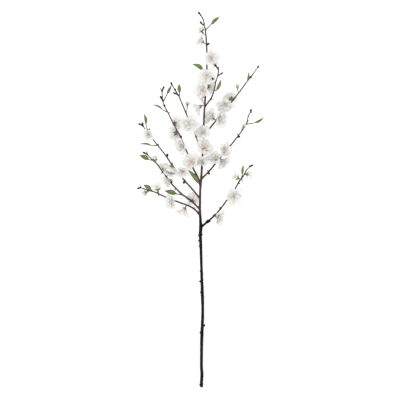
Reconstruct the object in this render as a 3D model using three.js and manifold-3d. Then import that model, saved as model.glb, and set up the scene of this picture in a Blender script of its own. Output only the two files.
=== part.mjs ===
import * as THREE from 'three';
import Module from 'manifold-3d';

// A cut sprig of double cherry blossom, lying on a table. Millimetres, +Z up. +Y runs from the cut end to
// the tip, and the origin is on the table, under the middle of the sprig's outline.

const wasm = await Module();
wasm.setup();

// Wood
const STEM_SIDES = 8;
const TWIG_SIDES = 5;
const GROWTH_SIDES = 4;
const CUT_RADIUS = 3.4;
const CUT_HEIGHT = CUT_RADIUS * Math.cos(Math.PI / STEM_SIDES);
const SEAT_GAP = 0.3;
const BUD_LENGTH = 8;
const BUD_NECK = 0.9;
const BUD_SHOULDER = 0.45;
const NECK_WIDTH = 0.6;
const SPUR_BLUNTING = 0.2;
const KNOT_FOOT_WIDTH = 1.1;
const KNOT_TOP_WIDTH = 0.8;

// Flowers
const PETALS = 5;
const PETAL_THICKNESS = 0.7;
const PEDICEL_RADIUS = 0.95;
const PEDICEL_BEND = 0.35;
const CALYX_LENGTH = 6.5;
const CALYX_FOOT_RADIUS = 1.3;
const HUB_RADIUS = 2.5;
const OUTER_CUPPING = THREE.MathUtils.degToRad(16);
const INNER_REACH = 0.66;
const INNER_CLOSING = THREE.MathUtils.degToRad(26);
const INNER_LEAST_LEAN = THREE.MathUtils.degToRad(27);
const INNER_CUPPING = THREE.MathUtils.degToRad(6);
const INNER_LIFT = 1.6;
const BOSS_HEIGHT = 6;
const BOSS_RADIUS = 1.4;
const BOSS_POINT = 1;

// The outline of a petal, as a share of its length, a direction from its midline in degrees, and a lift as
// a share of its length. Corners 0 and 1 of the faces are on the hub, and the outline's follow them.
const OUTER_PETAL = [
  [0.55, 0, -0.03],
  [0.62, -32, 0.04],
  [0.97, -17, 0.02],
  [0.89, 0, 0],
  [0.97, 17, 0.02],
  [0.62, 32, 0.04],
];
const OUTER_PETAL_FACES = [[0, 2, 1], [0, 3, 2], [3, 4, 2], [4, 5, 2], [5, 6, 2], [6, 7, 2], [7, 1, 2]];
const INNER_PETAL = [[0.66, -31, 0.03], [1, 0, 0], [0.66, 31, 0.03]];
const INNER_PETAL_FACES = [[0, 3, 1], [0, 2, 3], [3, 4, 1]];

// How far petals differ, in radians and as a share of their length.
const TURN_UNEVENNESS = 0.03;
const OUTER_LEAN_UNEVENNESS = 0.1;
const INNER_LEAN_UNEVENNESS = 0.05;
const LENGTH_UNEVENNESS = 0.06;

// Closed buds
const CLOSED_BUD_RADIUS = 5.4;
const CLOSED_BUD_LENGTH = 17;
const CLOSED_BUD_PROFILE = [[0.25, 0.38], [0.48, 0.6], [0.72, 1], [0.92, 0.6]];

// Leaves
const LEAF_THICKNESS = 0.7;
const LEAF_STEPS = 7;
const LEAF_FOLD = 0.35;
const LEAF_OUTLINE = 0.8;
const LEAF_TOOTH = 0.16;
const LEAF_TOOTH_REACH = 0.25;
const PETIOLE_SIDES = 4;
const PETIOLE_RADIUS = 0.8;
const PETIOLE_BEND = 0.6;
const PETIOLE_ARCH = 0.1;

// The draw of scattered numbers
const DRAW_WAVES = [12.9898, 78.233, 37.719];
const DRAW_HEIGHT = 43758.5453;

const FINISHES = {
  bark: { color: 0x3a2a28, roughness: 0.85, metalness: 0 },
  petal: { color: 0xf2ece6, roughness: 0.7, metalness: 0 },
  leaf: { color: 0x56783a, roughness: 0.6, metalness: 0 },
};

// The stem and its twigs. Each row is x, y, z and radius, from the root of the limb to its tip.
const LIMBS = {
  main: [
    [3, -488, CUT_HEIGHT, CUT_RADIUS], [3, -472, CUT_HEIGHT, CUT_RADIUS],
    [4, -455, CUT_HEIGHT, CUT_RADIUS], [3, -438, 3.5, 3.3], [3, -398, 5, 3.2], [4, -348, 6, 3.6],
    [5, -329, 7, 3.3], [6, -280, 9, 3.1], [5, -242, 11, 3.6], [4, -213, 12, 3.2],
    [3, -182, 13, 3], [2, -150, 15, 3], [1, -114, 16, 3.3], [0, -92, 17, 3.6], [1, -70, 18, 3.9],
    [0, -49, 20, 2.9], [-1, -32, 21, 2.9], [-1, -4, 22, 2.5], [0, 31, 25, 2.4], [2, 55, 26, 2.5],
    [4, 89, 29, 2.2], [7, 143, 32, 2.1], [9, 200, 35, 2], [11, 242, 37, 2], [14, 284, 38, 1.8],
    [17, 346, 41, 1.75], [17, 381, 42, 1.65], [16, 404, 42, 1.65], [14, 431, 43, 1.55], [11, 452, 43, 1.35],
    [7, 469, 44, 1.2], [3, 477, 44, 1.2], [-4, 486, 44, 1.1],
  ],
  right_low: [
    [2, -70, 18, 2.5], [13, -61, 20, 2.3], [28, -48, 22, 1.9], [41, -36, 24, 1.85], [55, -19, 25, 1.75],
    [67, -3, 26, 1.65], [80, 15, 28, 1.55], [91, 31, 29, 1.45], [100, 47, 31, 1.55], [111, 62, 33, 1.45],
    [121, 79, 36, 1.2], [130, 88, 38, 1],
  ],
  right_mid: [
    [3, 55, 26, 2], [11, 63, 29, 1.9], [21, 73, 31, 1.8], [40, 96, 36, 1.75], [54, 113, 40, 1.65],
    [77, 140, 46, 1.55], [95, 163, 51, 1.45], [112, 186, 55, 1.35], [121, 202, 57, 1.35],
    [124, 217, 58, 1.2], [131, 231, 60, 1],
  ],
  right_long: [
    [8, 168, 33, 1.8], [22, 184, 32, 1.75], [36, 201, 30, 1.65], [57, 226, 30, 1.65], [77, 250, 28, 1.45],
    [86, 261, 28, 1.45], [105, 286, 28, 1.35], [121, 308, 28, 1.35], [130, 319, 28, 1.25],
    [142, 335, 30, 1.1], [150, 346, 32, 1],
  ],
  right_top: [
    [11, 240, 37, 1.75], [18, 251, 40, 1.65], [27, 263, 44, 1.55], [35, 283, 49, 1.45], [40, 307, 54, 1.35],
    [45, 323, 58, 1.25], [47, 336, 60, 1.2], [47, 345, 62, 1],
  ],
  left_top: [
    [6, 122, 31, 1.8], [-7, 154, 37, 1.75], [-18, 181, 42, 1.65], [-31, 210, 47, 1.55],
    [-39, 230, 51, 1.45], [-48, 251, 55, 1.35], [-56, 270, 58, 1.35], [-66, 286, 61, 1.2],
    [-74, 299, 63, 1],
  ],
  left_upper: [
    [0, 33, 25, 1.9], [-6, 58, 26, 1.85], [-18, 81, 27, 1.75], [-31, 116, 28, 1.65], [-44, 145, 30, 1.55],
    [-51, 163, 30, 1.55], [-60, 179, 30, 1.45], [-70, 198, 30, 1.45], [-83, 225, 32, 1.35],
    [-94, 246, 35, 1.25], [-98, 260, 37, 1.2], [-99, 271, 39, 1.1], [-100, 285, 42, 1],
  ],
  left_long: [
    [0, 3, 23, 1.9], [-11, 16, 26, 1.85], [-25, 33, 30, 1.75], [-39, 48, 34, 1.75], [-50, 62, 38, 1.65],
    [-65, 80, 42, 1.55], [-80, 101, 46, 1.55], [-88, 113, 49, 1.45], [-109, 140, 54, 1.35],
    [-125, 160, 58, 1.25], [-141, 182, 62, 1.1], [-151, 194, 65, 1],
  ],
  left_mid: [
    [-1, -25, 21, 2], [-11, -14, 22, 1.9], [-24, -2, 24, 1.85], [-50, 17, 28, 1.75], [-62, 29, 31, 1.65],
    [-76, 44, 34, 1.55], [-90, 63, 38, 1.45], [-100, 76, 40, 1.45], [-113, 94, 44, 1.35],
    [-121, 101, 46, 1.35], [-130, 110, 48, 1.1], [-139, 120, 50, 1],
  ],
  left_low: [
    [-2, -38, 20, 2.1], [-16, -23, 22, 1.95], [-30, -15, 22, 1.85], [-46, -9, 22, 1.75],
    [-60, -4, 23, 1.65], [-76, 2, 24, 1.55], [-93, 9, 24, 1.45], [-106, 15, 25, 1.45], [-121, 22, 26, 1.35],
    [-135, 25, 28, 1.2], [-148, 30, 29, 1.1], [-157, 33, 30, 1],
  ],
};

// Dark buds, bare spurs and knots on the wood: limb, share of its length, tip, radius and kind.
const GROWTHS = [
  ['main', 0.99, [-6, 489, 45], 2.8, 'bud'],
  ['main', 0.96, [-2, 464, 46], 2.7, 'bud'],
  ['main', 0.91, [24, 408, 44], 2.8, 'bud'],
  ['main', 0.81, [15, 307, 46], 3.2, 'bud'],
  ['main', 0.95, [16, 442, 45], 1.6, 'knot'],
  ['main', 0.16, [12, -326, 8], 2, 'knot'],
  ['right_low', 0.99, [137, 92, 39], 2.8, 'bud'],
  ['right_low', 0.98, [126, 93, 38], 1.25, 'spur'],
  ['right_low', 0.35, [49, -20, 27], 2.8, 'bud'],
  ['right_low', 0.10, [23, -56, 22], 4, 'knot'],
  ['right_low', 0.24, [42, -44, 23], 2.1, 'knot'],
  ['right_low', 0.80, [111, 49, 31], 1.25, 'spur'],
  ['right_low', 0.74, [104, 41, 32], 1.6, 'knot'],
  ['right_mid', 0.10, [26, 68, 29], 2.8, 'bud'],
  ['right_mid', 0.12, [18, 79, 32], 1.25, 'spur'],
  ['right_mid', 0.65, [104, 165, 52], 2.8, 'bud'],
  ['right_mid', 0.67, [94, 173, 53], 1.25, 'spur'],
  ['right_mid', 0.99, [132, 237, 61], 2.7, 'bud'],
  ['right_mid', 0.98, [136, 228, 60], 1.25, 'spur'],
  ['right_mid', 0.87, [128, 206, 58], 1.2, 'knot'],
  ['right_long', 0.35, [59, 231, 35], 3.5, 'bud'],
  ['right_long', 0.85, [133, 322, 31], 3.2, 'bud'],
  ['right_long', 0.99, [152, 350, 32], 2.7, 'bud'],
  ['right_top', 0.94, [36, 353, 63], 2.7, 'bud'],
  ['right_top', 0.79, [59, 331, 58], 2.3, 'bud'],
  ['right_top', 0.63, [30, 317, 63], 2.6, 'bud'],
  ['right_top', 0.23, [32, 262, 44], 1.25, 'spur'],
  ['left_top', 0.99, [-77, 306, 64], 2.7, 'bud'],
  ['left_top', 0.84, [-71, 279, 57], 2.6, 'bud'],
  ['left_top', 0.91, [-67, 289, 64], 3, 'bud'],
  ['left_upper', 0.99, [-94, 296, 42], 2.7, 'bud'],
  ['left_upper', 0.98, [-104, 292, 41], 1.25, 'spur'],
  ['left_upper', 0.90, [-105, 271, 38], 3, 'bud'],
  ['left_upper', 0.52, [-48, 165, 33], 3.2, 'bud'],
  ['left_upper', 0.84, [-95, 249, 38], 3, 'bud'],
  ['left_upper', 0.77, [-79, 228, 35], 1.38, 'spur'],
  ['left_long', 0.99, [-161, 199, 66], 2.7, 'bud'],
  ['left_long', 0.98, [-151, 202, 66], 2.8, 'bud'],
  ['left_long', 0.25, [-45, 43, 36], 3.4, 'bud'],
  ['left_long', 0.24, [-40, 54, 35], 1.38, 'spur'],
  ['left_long', 0.57, [-85, 121, 51], 3.2, 'bud'],
  ['left_long', 0.72, [-109, 147, 56], 1.38, 'spur'],
  ['left_long', 0.89, [-131, 186, 66], 2.9, 'bud'],
  ['left_mid', 0.99, [-150, 125, 51], 2.7, 'bud'],
  ['left_mid', 0.98, [-140, 128, 51], 1.25, 'spur'],
  ['left_mid', 0.51, [-74, 50, 37], 2.7, 'bud'],
  ['left_mid', 0.43, [-66, 26, 31], 1.38, 'spur'],
  ['left_mid', 0.68, [-103, 69, 42], 1.4, 'spur'],
  ['left_mid', 0.66, [-91, 75, 41], 1.3, 'spur'],
  ['left_low', 0.99, [-165, 30, 31], 2.7, 'bud'],
  ['left_low', 0.98, [-158, 39, 32], 1.25, 'spur'],
  ['left_low', 0.12, [-14, -18, 24], 1.3, 'knot'],
  ['left_low', 0.69, [-110, 10, 25], 1.38, 'spur'],
];

// Open flowers: limb, share of its length, middle of the flower, then the compass direction and the
// height in degrees that it faces, the petals' length, and how far they open from the axis in degrees.
const BLOOMS = [
  ['right_low', 0.29, [44, -44, 34], -15, 28, 22, 66],
  ['right_low', 0.59, [84, 11, 40], -20, 62, 24.5, 70],
  ['right_mid', 0.27, [40, 105, 46], 122, 46, 21, 64],
  ['right_mid', 0.32, [56, 103, 48], -50, 34, 21, 62],
  ['right_mid', 0.41, [60, 130, 53], -5, 44, 21, 68],
  ['right_long', 0.44, [65, 250, 42], 262, 44, 23, 70],
  ['right_long', 0.55, [80, 264, 17], 110, -62, 18, 66],
  ['right_long', 0.28, [48, 212, 43], -8, 40, 22, 68],
  ['right_long', 0.19, [33, 212, 42], 155, 26, 22.5, 62],
  ['main', 0.91, [6, 410, 49], 148, 26, 17.5, 60],
  ['main', 0.88, [27, 368, 53], 5, 66, 22, 70],
  ['main', 0.83, [17, 321, 53], 90, 78, 21.5, 70],
  ['main', 0.79, [9, 286, 50], 178, 50, 23, 68],
  ['main', 0.80, [20, 295, 28], -20, -50, 19, 64],
  ['main', 0.78, [6, 270, 33], 225, 0, 16.5, 58],
  ['main', 0.75, [1, 244, 34], 203, -10, 22, 56],
  ['main', 0.68, [7, 174, 47], 120, 66, 21, 70],
  ['main', 0.64, [8, 133, 44], 45, 56, 22, 70],
  ['left_upper', 0.27, [-23, 98, 41], 150, 68, 21, 70],
  ['main', 0.60, [5, 95, 40], 100, 50, 18, 62],
  ['left_top', 0.43, [-29, 195, 59], 60, 78, 24, 74],
  ['left_upper', 0.64, [-67, 200, 21], 25, -46, 20, 62],
  ['left_upper', 0.56, [-64, 174, 18], 200, -60, 19, 66],
  ['left_upper', 0.45, [-45, 142, 40], 195, 42, 21, 62],
  ['left_long', 0.32, [-46, 76, 53], 262, 56, 18, 64],
  ['left_long', 0.86, [-132, 170, 68], 200, 55, 17, 64],
  ['left_long', 0.51, [-74, 87, 60], -115, -28, 17.5, 64],
  ['left_mid', 0.69, [-95, 81, 32], 80, -32, 17, 62],
  ['left_mid', 0.60, [-83, 70, 44.5], 60, 46, 18, 64],
  ['left_mid', 0.49, [-80, 51, 42.5], 205, 24, 18.5, 60],
  ['left_mid', 0.17, [-22, -2, 17], 75, -60, 19, 62],
  ['left_low', 0.42, [-72, -4, 33], 195, 42, 22, 66],
  ['left_low', 0.23, [-40, -21, 20], -116, -4, 23.5, 49],
];

// The two open flowers, by number, that lie on the table with the cut end of the stem.
const CARRYING_BLOOMS = [7, 23];

// Half-open flowers, by the same rule.
const HALF_OPEN = [
  ['right_low', 0.80, [98, 57, 34], 150, 18, 16, 44],
  ['right_low', 0.84, [121, 67, 32], -5, 12, 15, 42],
  ['left_mid', 0.82, [-117, 103, 46], 100, 15, 14.5, 42],
  ['left_low', 0.85, [-142, 20, 26], 205, 12, 14.5, 44],
  ['left_low', 0.69, [-111, 27, 27], 100, 26, 17, 50],
  ['main', 0.935, [4, 438, 43], 122, 20, 15, 44],
];

// Closed white buds: limb, share of its length, foot of the bud, and the direction that it points.
const CLOSED_BUDS = [
  ['right_long', 0.63, [97, 287, 29], 95, 12],
  ['left_top', 0.57, [-34, 241, 51], 88, 12],
  ['right_mid', 0.72, [108, 184, 62], 57, 8],
];

// Leaves: limb, share of its length, foot and tip of the blade, width, roll in degrees about the midrib,
// and how far the midrib bows to the left of the straight line.
const LEAVES = [
  ['right_low', 0.80, [109, 66, 36], [112, 92, 42], 8.5, 35, 1.5],
  ['right_mid', 0.83, [139, 200, 58], [165, 215, 54], 9, 40, -1.5],
  ['right_long', 0.76, [122, 310, 31], [125, 333, 35], 8, 40, -1],
  ['right_top', 0.45, [41, 284, 52], [54, 313, 51], 9.5, 25, -1],
  ['main', 0.95, [27, 455, 44], [51, 477, 46], 10, 15, 1.5],
  ['main', 0.84, [8, 336, 42], [-21, 353, 44], 12.5, 20, -3.5],
  ['left_top', 0.81, [-54, 277, 60], [-55, 302, 63], 10.5, 10, 0.5],
  ['left_upper', 0.78, [-97, 234, 35], [-125, 248, 37], 8.5, 50, -2.5],
  ['left_upper', 0.89, [-87, 274, 39], [-74, 299, 41], 8.5, 30, 1],
  ['left_upper', 0.02, [-3, 42, 29], [-33, 79, 41], 13, 20, -2],
  ['left_long', 0.73, [-125, 141, 52], [-160, 145, 47], 8.5, 50, -2.5],
  ['left_long', 0.89, [-141, 195, 63], [-146, 224, 65], 9.5, 30, -1.5],
  ['left_mid', 0.88, [-133, 105, 45], [-158, 117, 43], 13.5, 15, -0.5],
  ['left_mid', 0.285, [-61, 16, 26], [-93, 24, 23], 14, 15, -0.5],
  ['left_low', 0.79, [-127, 26, 29], [-148, 40, 32], 12.5, 15, -0.5],
];

const UP = new THREE.Vector3(0, 0, 1);
const rad = THREE.MathUtils.degToRad;

// The same draw between 0 and 1 each time for the same three numbers.
function scatter(first, second, third) {
  const phase = first * DRAW_WAVES[0] + second * DRAW_WAVES[1] + third * DRAW_WAVES[2];
  const wave = Math.sin(phase) * DRAW_HEIGHT;
  return wave - Math.floor(wave);
}

function spread(first, second, third, most) {
  return (2 * scatter(first, second, third) - 1) * most;
}

// A closed skin, put together from rings of points, blades and end points.
class Skin {
  points = [];

  faces = [];

  // Adds places and gives their numbers.
  add(...places) {
    const first = this.points.length;
    this.points.push(...places);
    return places.map((place, index) => first + index);
  }

  // Joins two rings that go round the same way, seen from the upper one.
  bridge(low, high) {
    low.forEach((corner, index) => {
      const next = (index + 1) % low.length;
      this.faces.push([corner, low[next], high[next]], [corner, high[next], high[index]]);
    });
  }

  closeTop(ring, place) {
    const [tip] = this.add(place);
    ring.forEach((corner, index) => this.faces.push([corner, ring[(index + 1) % ring.length], tip]));
  }

  closeFoot(ring, place) {
    this.closeTop([...ring].reverse(), place);
  }

  // A thin blade of faces on numbered pairs, each pair an upper and an under point. Both sides are split
  // alike, and the edge that runs from `open[0]` to `open[1]` is left for what carries the blade.
  blade(pairs, faces, open) {
    const edges = new Set(faces.flatMap(([a, b, c]) => [`${a} ${b}`, `${b} ${c}`, `${c} ${a}`]));
    for (const [a, b, c] of faces) {
      this.faces.push([pairs[a].upper, pairs[b].upper, pairs[c].upper]);
      this.faces.push([pairs[c].under, pairs[b].under, pairs[a].under]);
    }
    for (const edge of edges) {
      const [from, to] = edge.split(' ').map(Number);
      const carried = from === open[0] && to === open[1];
      if (!edges.has(`${to} ${from}`) && !carried) {
        this.faces.push([pairs[from].upper, pairs[from].under, pairs[to].under]);
        this.faces.push([pairs[from].upper, pairs[to].under, pairs[to].upper]);
      }
    }
  }

  solid() {
    const geometry = new THREE.BufferGeometry().setFromPoints(this.points);
    return new wasm.Manifold(new wasm.Mesh({
      numProp: 3,
      vertProperties: geometry.getAttribute('position').array,
      triVerts: new Uint32Array(this.faces.flat()),
    }));
  }
}

// Points round a place, anticlockwise from `side` towards `top`.
function ringPlaces(place, side, top, radius, sides, start) {
  return Array.from({ length: sides }, (unused, corner) => {
    const turn = start + (corner * 2 * Math.PI) / sides;
    return place.clone()
      .addScaledVector(side, radius * Math.cos(turn))
      .addScaledVector(top, radius * Math.sin(turn));
  });
}

// A round limb through stations of place and radius, closed by a point at each end.
function limbSolid(stations, sides) {
  const skin = new Skin();
  const rings = [];
  let top = UP;
  for (let index = 1; index < stations.length - 1; index += 1) {
    const along = new THREE.Vector3()
      .subVectors(stations[index + 1].place, stations[index - 1].place)
      .normalize();
    top = top.clone().addScaledVector(along, -top.dot(along)).normalize();
    const side = new THREE.Vector3().crossVectors(top, along);
    const { place, radius } = stations[index];
    rings.push(skin.add(...ringPlaces(place, side, top, radius, sides, Math.PI / 2 + Math.PI / sides)));
  }
  skin.closeFoot(rings[0], stations[0].place);
  rings.slice(1).forEach((ring, index) => skin.bridge(rings[index], ring));
  skin.closeTop(rings[rings.length - 1], stations[stations.length - 1].place);
  return skin.solid();
}

// Wood
const paths = {};
for (const [name, rows] of Object.entries(LIMBS)) {
  paths[name] = new THREE.CurvePath();
  for (let row = 1; row < rows.length; row += 1) {
    const from = new THREE.Vector3(...rows[row - 1]);
    paths[name].add(new THREE.LineCurve3(from, new THREE.Vector3(...rows[row])));
  }
}

function stemOrTwig(name, clearance) {
  const sides = name === 'main' ? STEM_SIDES : TWIG_SIDES;
  const grow = clearance / Math.cos(Math.PI / sides);
  const rings = LIMBS[name].map(([x, y, z, radius]) => (
    { place: new THREE.Vector3(x, y, z), radius: radius + grow }));
  return limbSolid([rings[0], ...rings, rings[rings.length - 1]], sides);
}

// A bud, on a stalk if it is long, a bare spur or a knot, rooted on the limb's axis.
function growthSolid([name, share, tip, radius, kind], clearance) {
  const grow = clearance / Math.cos(Math.PI / GROWTH_SIDES);
  const root = paths[name].getPointAt(share);
  const end = new THREE.Vector3(...tip);
  const length = root.distanceTo(end);
  const fromTip = (distance, part) => ({
    place: end.clone().lerp(root, distance / length),
    radius: radius * part + grow,
  });
  const neck = length > BUD_LENGTH ? [fromTip(BUD_LENGTH * BUD_NECK, NECK_WIDTH)] : [];
  const shoulder = fromTip(Math.min(BUD_LENGTH * BUD_SHOULDER, length / 2), 1);
  const rings = {
    bud: [fromTip(length, NECK_WIDTH), ...neck, shoulder],
    spur: [fromTip(length, 1), fromTip(length * SPUR_BLUNTING, NECK_WIDTH)],
    knot: [fromTip(length, KNOT_FOOT_WIDTH), fromTip(length * SPUR_BLUNTING, KNOT_TOP_WIDTH)],
  };
  return limbSolid([rings[kind][0], ...rings[kind], fromTip(-grow, 0)], GROWTH_SIDES);
}

function woodSolid(clearance) {
  const limbs = Object.keys(LIMBS).map((name) => stemOrTwig(name, clearance));
  const growths = GROWTHS.map((growth) => growthSolid(growth, clearance));
  return [...limbs, ...growths].reduce((joined, piece) => joined.add(piece));
}

const wood = woodSolid(0);
const woodClearance = woodSolid(SEAT_GAP);

// The largest body that is left when a piece is cut clear of the wood.
function clearOfWood(piece) {
  const bodies = piece.subtract(woodClearance).decompose();
  return bodies.reduce((largest, body) => (body.volume() > largest.volume() ? body : largest));
}

// Flowers
function flowerFrame([x, y, z], compass, height, seed) {
  const axis = new THREE.Vector3(1, 0, 0)
    .applyAxisAngle(new THREE.Vector3(0, -1, 0), rad(height))
    .applyAxisAngle(UP, rad(compass));
  const right = new THREE.Vector3().crossVectors(UP, axis).normalize();
  const front = new THREE.Vector3().crossVectors(axis, right);
  return { middle: new THREE.Vector3(x, y, z), axis, right, front, turn: scatter(seed, 0, 0) };
}

// A place on a petal: its share of the petal's length and its direction round the flower. Petals lean
// out more towards their tips, and `cup` lifts the place by a share of the length.
function petalPair(skin, whorl, share, turn, lean, cup) {
  const tilt = lean - whorl.cupping * (1 - share);
  const radial = whorl.right.clone().multiplyScalar(Math.cos(turn))
    .addScaledVector(whorl.front, Math.sin(turn));
  const place = whorl.middle.clone()
    .addScaledVector(radial, whorl.reach * share * Math.sin(tilt))
    .addScaledVector(whorl.axis, whorl.reach * (share * Math.cos(tilt) + cup));
  const back = place.clone()
    .addScaledVector(radial, PETAL_THICKNESS * Math.cos(tilt))
    .addScaledVector(whorl.axis, -PETAL_THICKNESS * Math.sin(tilt));
  const [upper, under] = skin.add(place, back);
  return { upper, under };
}

// Five petals on a short round hub, whose lower and upper rings are given back.
function addWhorl(skin, whorl) {
  const step = (2 * Math.PI) / PETALS;
  const hub = (height) => skin.add(...ringPlaces(
    whorl.middle.clone().addScaledVector(whorl.axis, height),
    whorl.right,
    whorl.front,
    HUB_RADIUS,
    PETALS,
    whorl.turn - step / 2,
  ));
  const [under, upper] = [hub(-PETAL_THICKNESS), hub(0)];
  for (let petal = 0; petal < PETALS; petal += 1) {
    const turn = whorl.turn + petal * step + spread(whorl.seed, petal, 1, TURN_UNEVENNESS);
    const lean = whorl.lean + spread(whorl.seed, petal, 2, whorl.leanUnevenness);
    const length = 1 + spread(whorl.seed, petal, 3, LENGTH_UNEVENNESS);
    const next = (petal + 1) % PETALS;
    const pairs = [
      { upper: upper[petal], under: under[petal] },
      { upper: upper[next], under: under[next] },
    ];
    for (const [share, angle, cup] of whorl.outline) {
      pairs.push(petalPair(skin, whorl, share * length, turn + rad(angle), lean, cup));
    }
    skin.blade(pairs, whorl.faces, [1, 0]);
  }
  return { under, upper };
}

// The pedicel bends from the limb's axis to the foot of the flower. It is built down from that foot, and
// the ring at the foot is given back.
function addPedicel(skin, name, share, flower, foot, turn) {
  const root = paths[name].getPointAt(share);
  const span = root.distanceTo(foot);
  const curve = new THREE.CubicBezierCurve3(
    root,
    root.clone().lerp(foot, PEDICEL_BEND),
    foot.clone().addScaledVector(flower.axis, -PEDICEL_BEND * span),
    foot,
  );
  let side = flower.right;
  const stations = [[1, CALYX_FOOT_RADIUS], [0.5, PEDICEL_RADIUS], [0, PEDICEL_RADIUS]];
  const rings = stations.map(([part, radius]) => {
    const along = curve.getTangent(part);
    side = side.clone().addScaledVector(along, -side.dot(along)).normalize();
    const top = new THREE.Vector3().crossVectors(along, side);
    return skin.add(...ringPlaces(curve.getPoint(part), side, top, radius, PETALS, turn));
  });
  skin.bridge(rings[1], rings[0]);
  skin.bridge(rings[2], rings[1]);
  skin.closeFoot(rings[2], root);
  return rings[0];
}

function flowerSolid([name, share, place, compass, height, reach, open], seed, double) {
  const skin = new Skin();
  const frame = flowerFrame(place, compass, height, seed);
  const turn = frame.turn * 2 * Math.PI;
  const along = (distance) => frame.middle.clone().addScaledVector(frame.axis, distance);
  const outer = {
    ...frame,
    seed,
    turn,
    reach,
    lean: rad(open),
    leanUnevenness: OUTER_LEAN_UNEVENNESS,
    cupping: OUTER_CUPPING,
    outline: OUTER_PETAL,
    faces: OUTER_PETAL_FACES,
  };
  const inner = {
    ...outer,
    seed: seed + 0.5,
    turn: turn + Math.PI / PETALS,
    middle: along(INNER_LIFT),
    reach: reach * INNER_REACH,
    lean: Math.max(outer.lean - INNER_CLOSING, INNER_LEAST_LEAN),
    leanUnevenness: INNER_LEAN_UNEVENNESS,
    cupping: INNER_CUPPING,
    outline: INNER_PETAL,
    faces: INNER_PETAL_FACES,
  };
  const foot = addPedicel(skin, name, share, frame, along(-CALYX_LENGTH), turn - Math.PI / PETALS);
  const lower = addWhorl(skin, outer);
  skin.bridge(foot, lower.under);
  let { upper } = lower;
  if (double) {
    const higher = addWhorl(skin, inner);
    skin.bridge(upper, higher.under);
    upper = higher.upper;
  }
  const bossTurn = double ? inner.turn : outer.turn;
  const boss = skin.add(...ringPlaces(
    along(BOSS_HEIGHT),
    frame.right,
    frame.front,
    BOSS_RADIUS,
    PETALS,
    bossTurn - Math.PI / PETALS,
  ));
  skin.bridge(upper, boss);
  skin.closeTop(boss, along(BOSS_HEIGHT + BOSS_POINT));
  return skin.solid();
}

function closedBudSolid([name, share, place, compass, height]) {
  const skin = new Skin();
  const frame = flowerFrame(place, compass, height, 0);
  const along = (part) => (
    frame.middle.clone().addScaledVector(frame.axis, part * CLOSED_BUD_LENGTH));
  const foot = addPedicel(skin, name, share, frame, frame.middle, 0);
  const rings = CLOSED_BUD_PROFILE.map(([part, width]) => skin.add(...ringPlaces(
    along(part),
    frame.right,
    frame.front,
    width * CLOSED_BUD_RADIUS,
    PETALS,
    0,
  )));
  [foot, ...rings].slice(0, -1).forEach((ring, index) => skin.bridge(ring, rings[index]));
  skin.closeTop(rings[rings.length - 1], along(1));
  return skin.solid();
}

// Leaves
function leafSolid([name, share, footPlace, tipPlace, width, roll, bow]) {
  const skin = new Skin();
  const foot = new THREE.Vector3(...footPlace);
  const tip = new THREE.Vector3(...tipPlace);
  const along = new THREE.Vector3().subVectors(tip, foot).normalize();
  const level = new THREE.Vector3().crossVectors(UP, along).normalize();
  const left = level.clone().applyAxisAngle(along, rad(roll));
  const top = new THREE.Vector3().crossVectors(along, left);
  const pairAt = (part, across, forward) => {
    const place = foot.clone().lerp(tip, part)
      .addScaledVector(level, bow * Math.sin(Math.PI * part))
      .addScaledVector(left, across)
      .addScaledVector(top, Math.abs(across) * LEAF_FOLD)
      .addScaledVector(along, forward);
    const [upper, under] = skin.add(place, place.clone().addScaledVector(top, -LEAF_THICKNESS));
    return { upper, under };
  };
  const pairs = [pairAt(0, PETIOLE_RADIUS, 0), pairAt(0, -PETIOLE_RADIUS, 0)];
  const faces = [[0, 1, 3], [0, 3, 2], [1, 4, 3]];
  for (let row = 1; row < LEAF_STEPS; row += 1) {
    const part = row / LEAF_STEPS;
    const toothed = row % 2 === 1;
    const outline = (width / 2) * Math.sin(Math.PI * part ** LEAF_OUTLINE);
    const half = toothed ? outline : outline * (1 - LEAF_TOOTH);
    const forward = toothed ? (LEAF_TOOTH_REACH * foot.distanceTo(tip)) / LEAF_STEPS : 0;
    pairs.push(pairAt(part, half, forward), pairAt(part, 0, 0), pairAt(part, -half, forward));
    const low = 2 + (row - 1) * 3;
    if (row < LEAF_STEPS - 1) {
      faces.push([low, low + 1, low + 4], [low, low + 4, low + 3]);
      faces.push([low + 1, low + 2, low + 5], [low + 1, low + 5, low + 4]);
    } else {
      faces.push([low, low + 1, low + 3], [low + 1, low + 2, low + 3]);
    }
  }
  pairs.push(pairAt(1, 0, 0));
  skin.blade(pairs, faces, [0, 1]);

  const root = paths[name].getPointAt(share);
  const bend = root.clone()
    .lerp(foot, PETIOLE_BEND)
    .addScaledVector(UP, PETIOLE_ARCH * root.distanceTo(foot));
  const stalkRing = (place) => {
    const inwards = new THREE.Vector3().subVectors(foot, root).normalize();
    const side = left.clone().addScaledVector(inwards, -left.dot(inwards)).normalize();
    const rise = new THREE.Vector3().crossVectors(inwards, side);
    const start = Math.PI / PETIOLE_SIDES;
    return skin.add(...ringPlaces(place, side, rise, PETIOLE_RADIUS, PETIOLE_SIDES, start));
  };
  const [low, high] = [stalkRing(root), stalkRing(bend)];
  const base = [pairs[0].upper, pairs[1].upper, pairs[1].under, pairs[0].under];
  skin.closeFoot(low, root);
  skin.bridge(low, high);
  skin.bridge(high, base);
  return skin.solid();
}

// A flower that helps to carry the sprig touches the table with its lowest petal.
function touchingDown(row, seed) {
  const [x, y, z] = row[2];
  const lowest = flowerSolid(row, seed, true).boundingBox().min[2];
  return row.with(2, [x, y, z - lowest]);
}

const sprig = new THREE.Group();

function addPiece(name, manifold, finish) {
  const mesh = manifold.getMesh();
  const geometry = new THREE.BufferGeometry();
  geometry.setAttribute('position', new THREE.BufferAttribute(mesh.vertProperties, mesh.numProp));
  geometry.setIndex(new THREE.BufferAttribute(mesh.triVerts, 1));
  const piece = new THREE.Mesh(geometry, new THREE.MeshStandardMaterial(FINISHES[finish]));
  piece.name = name;
  sprig.add(piece);
}

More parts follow.
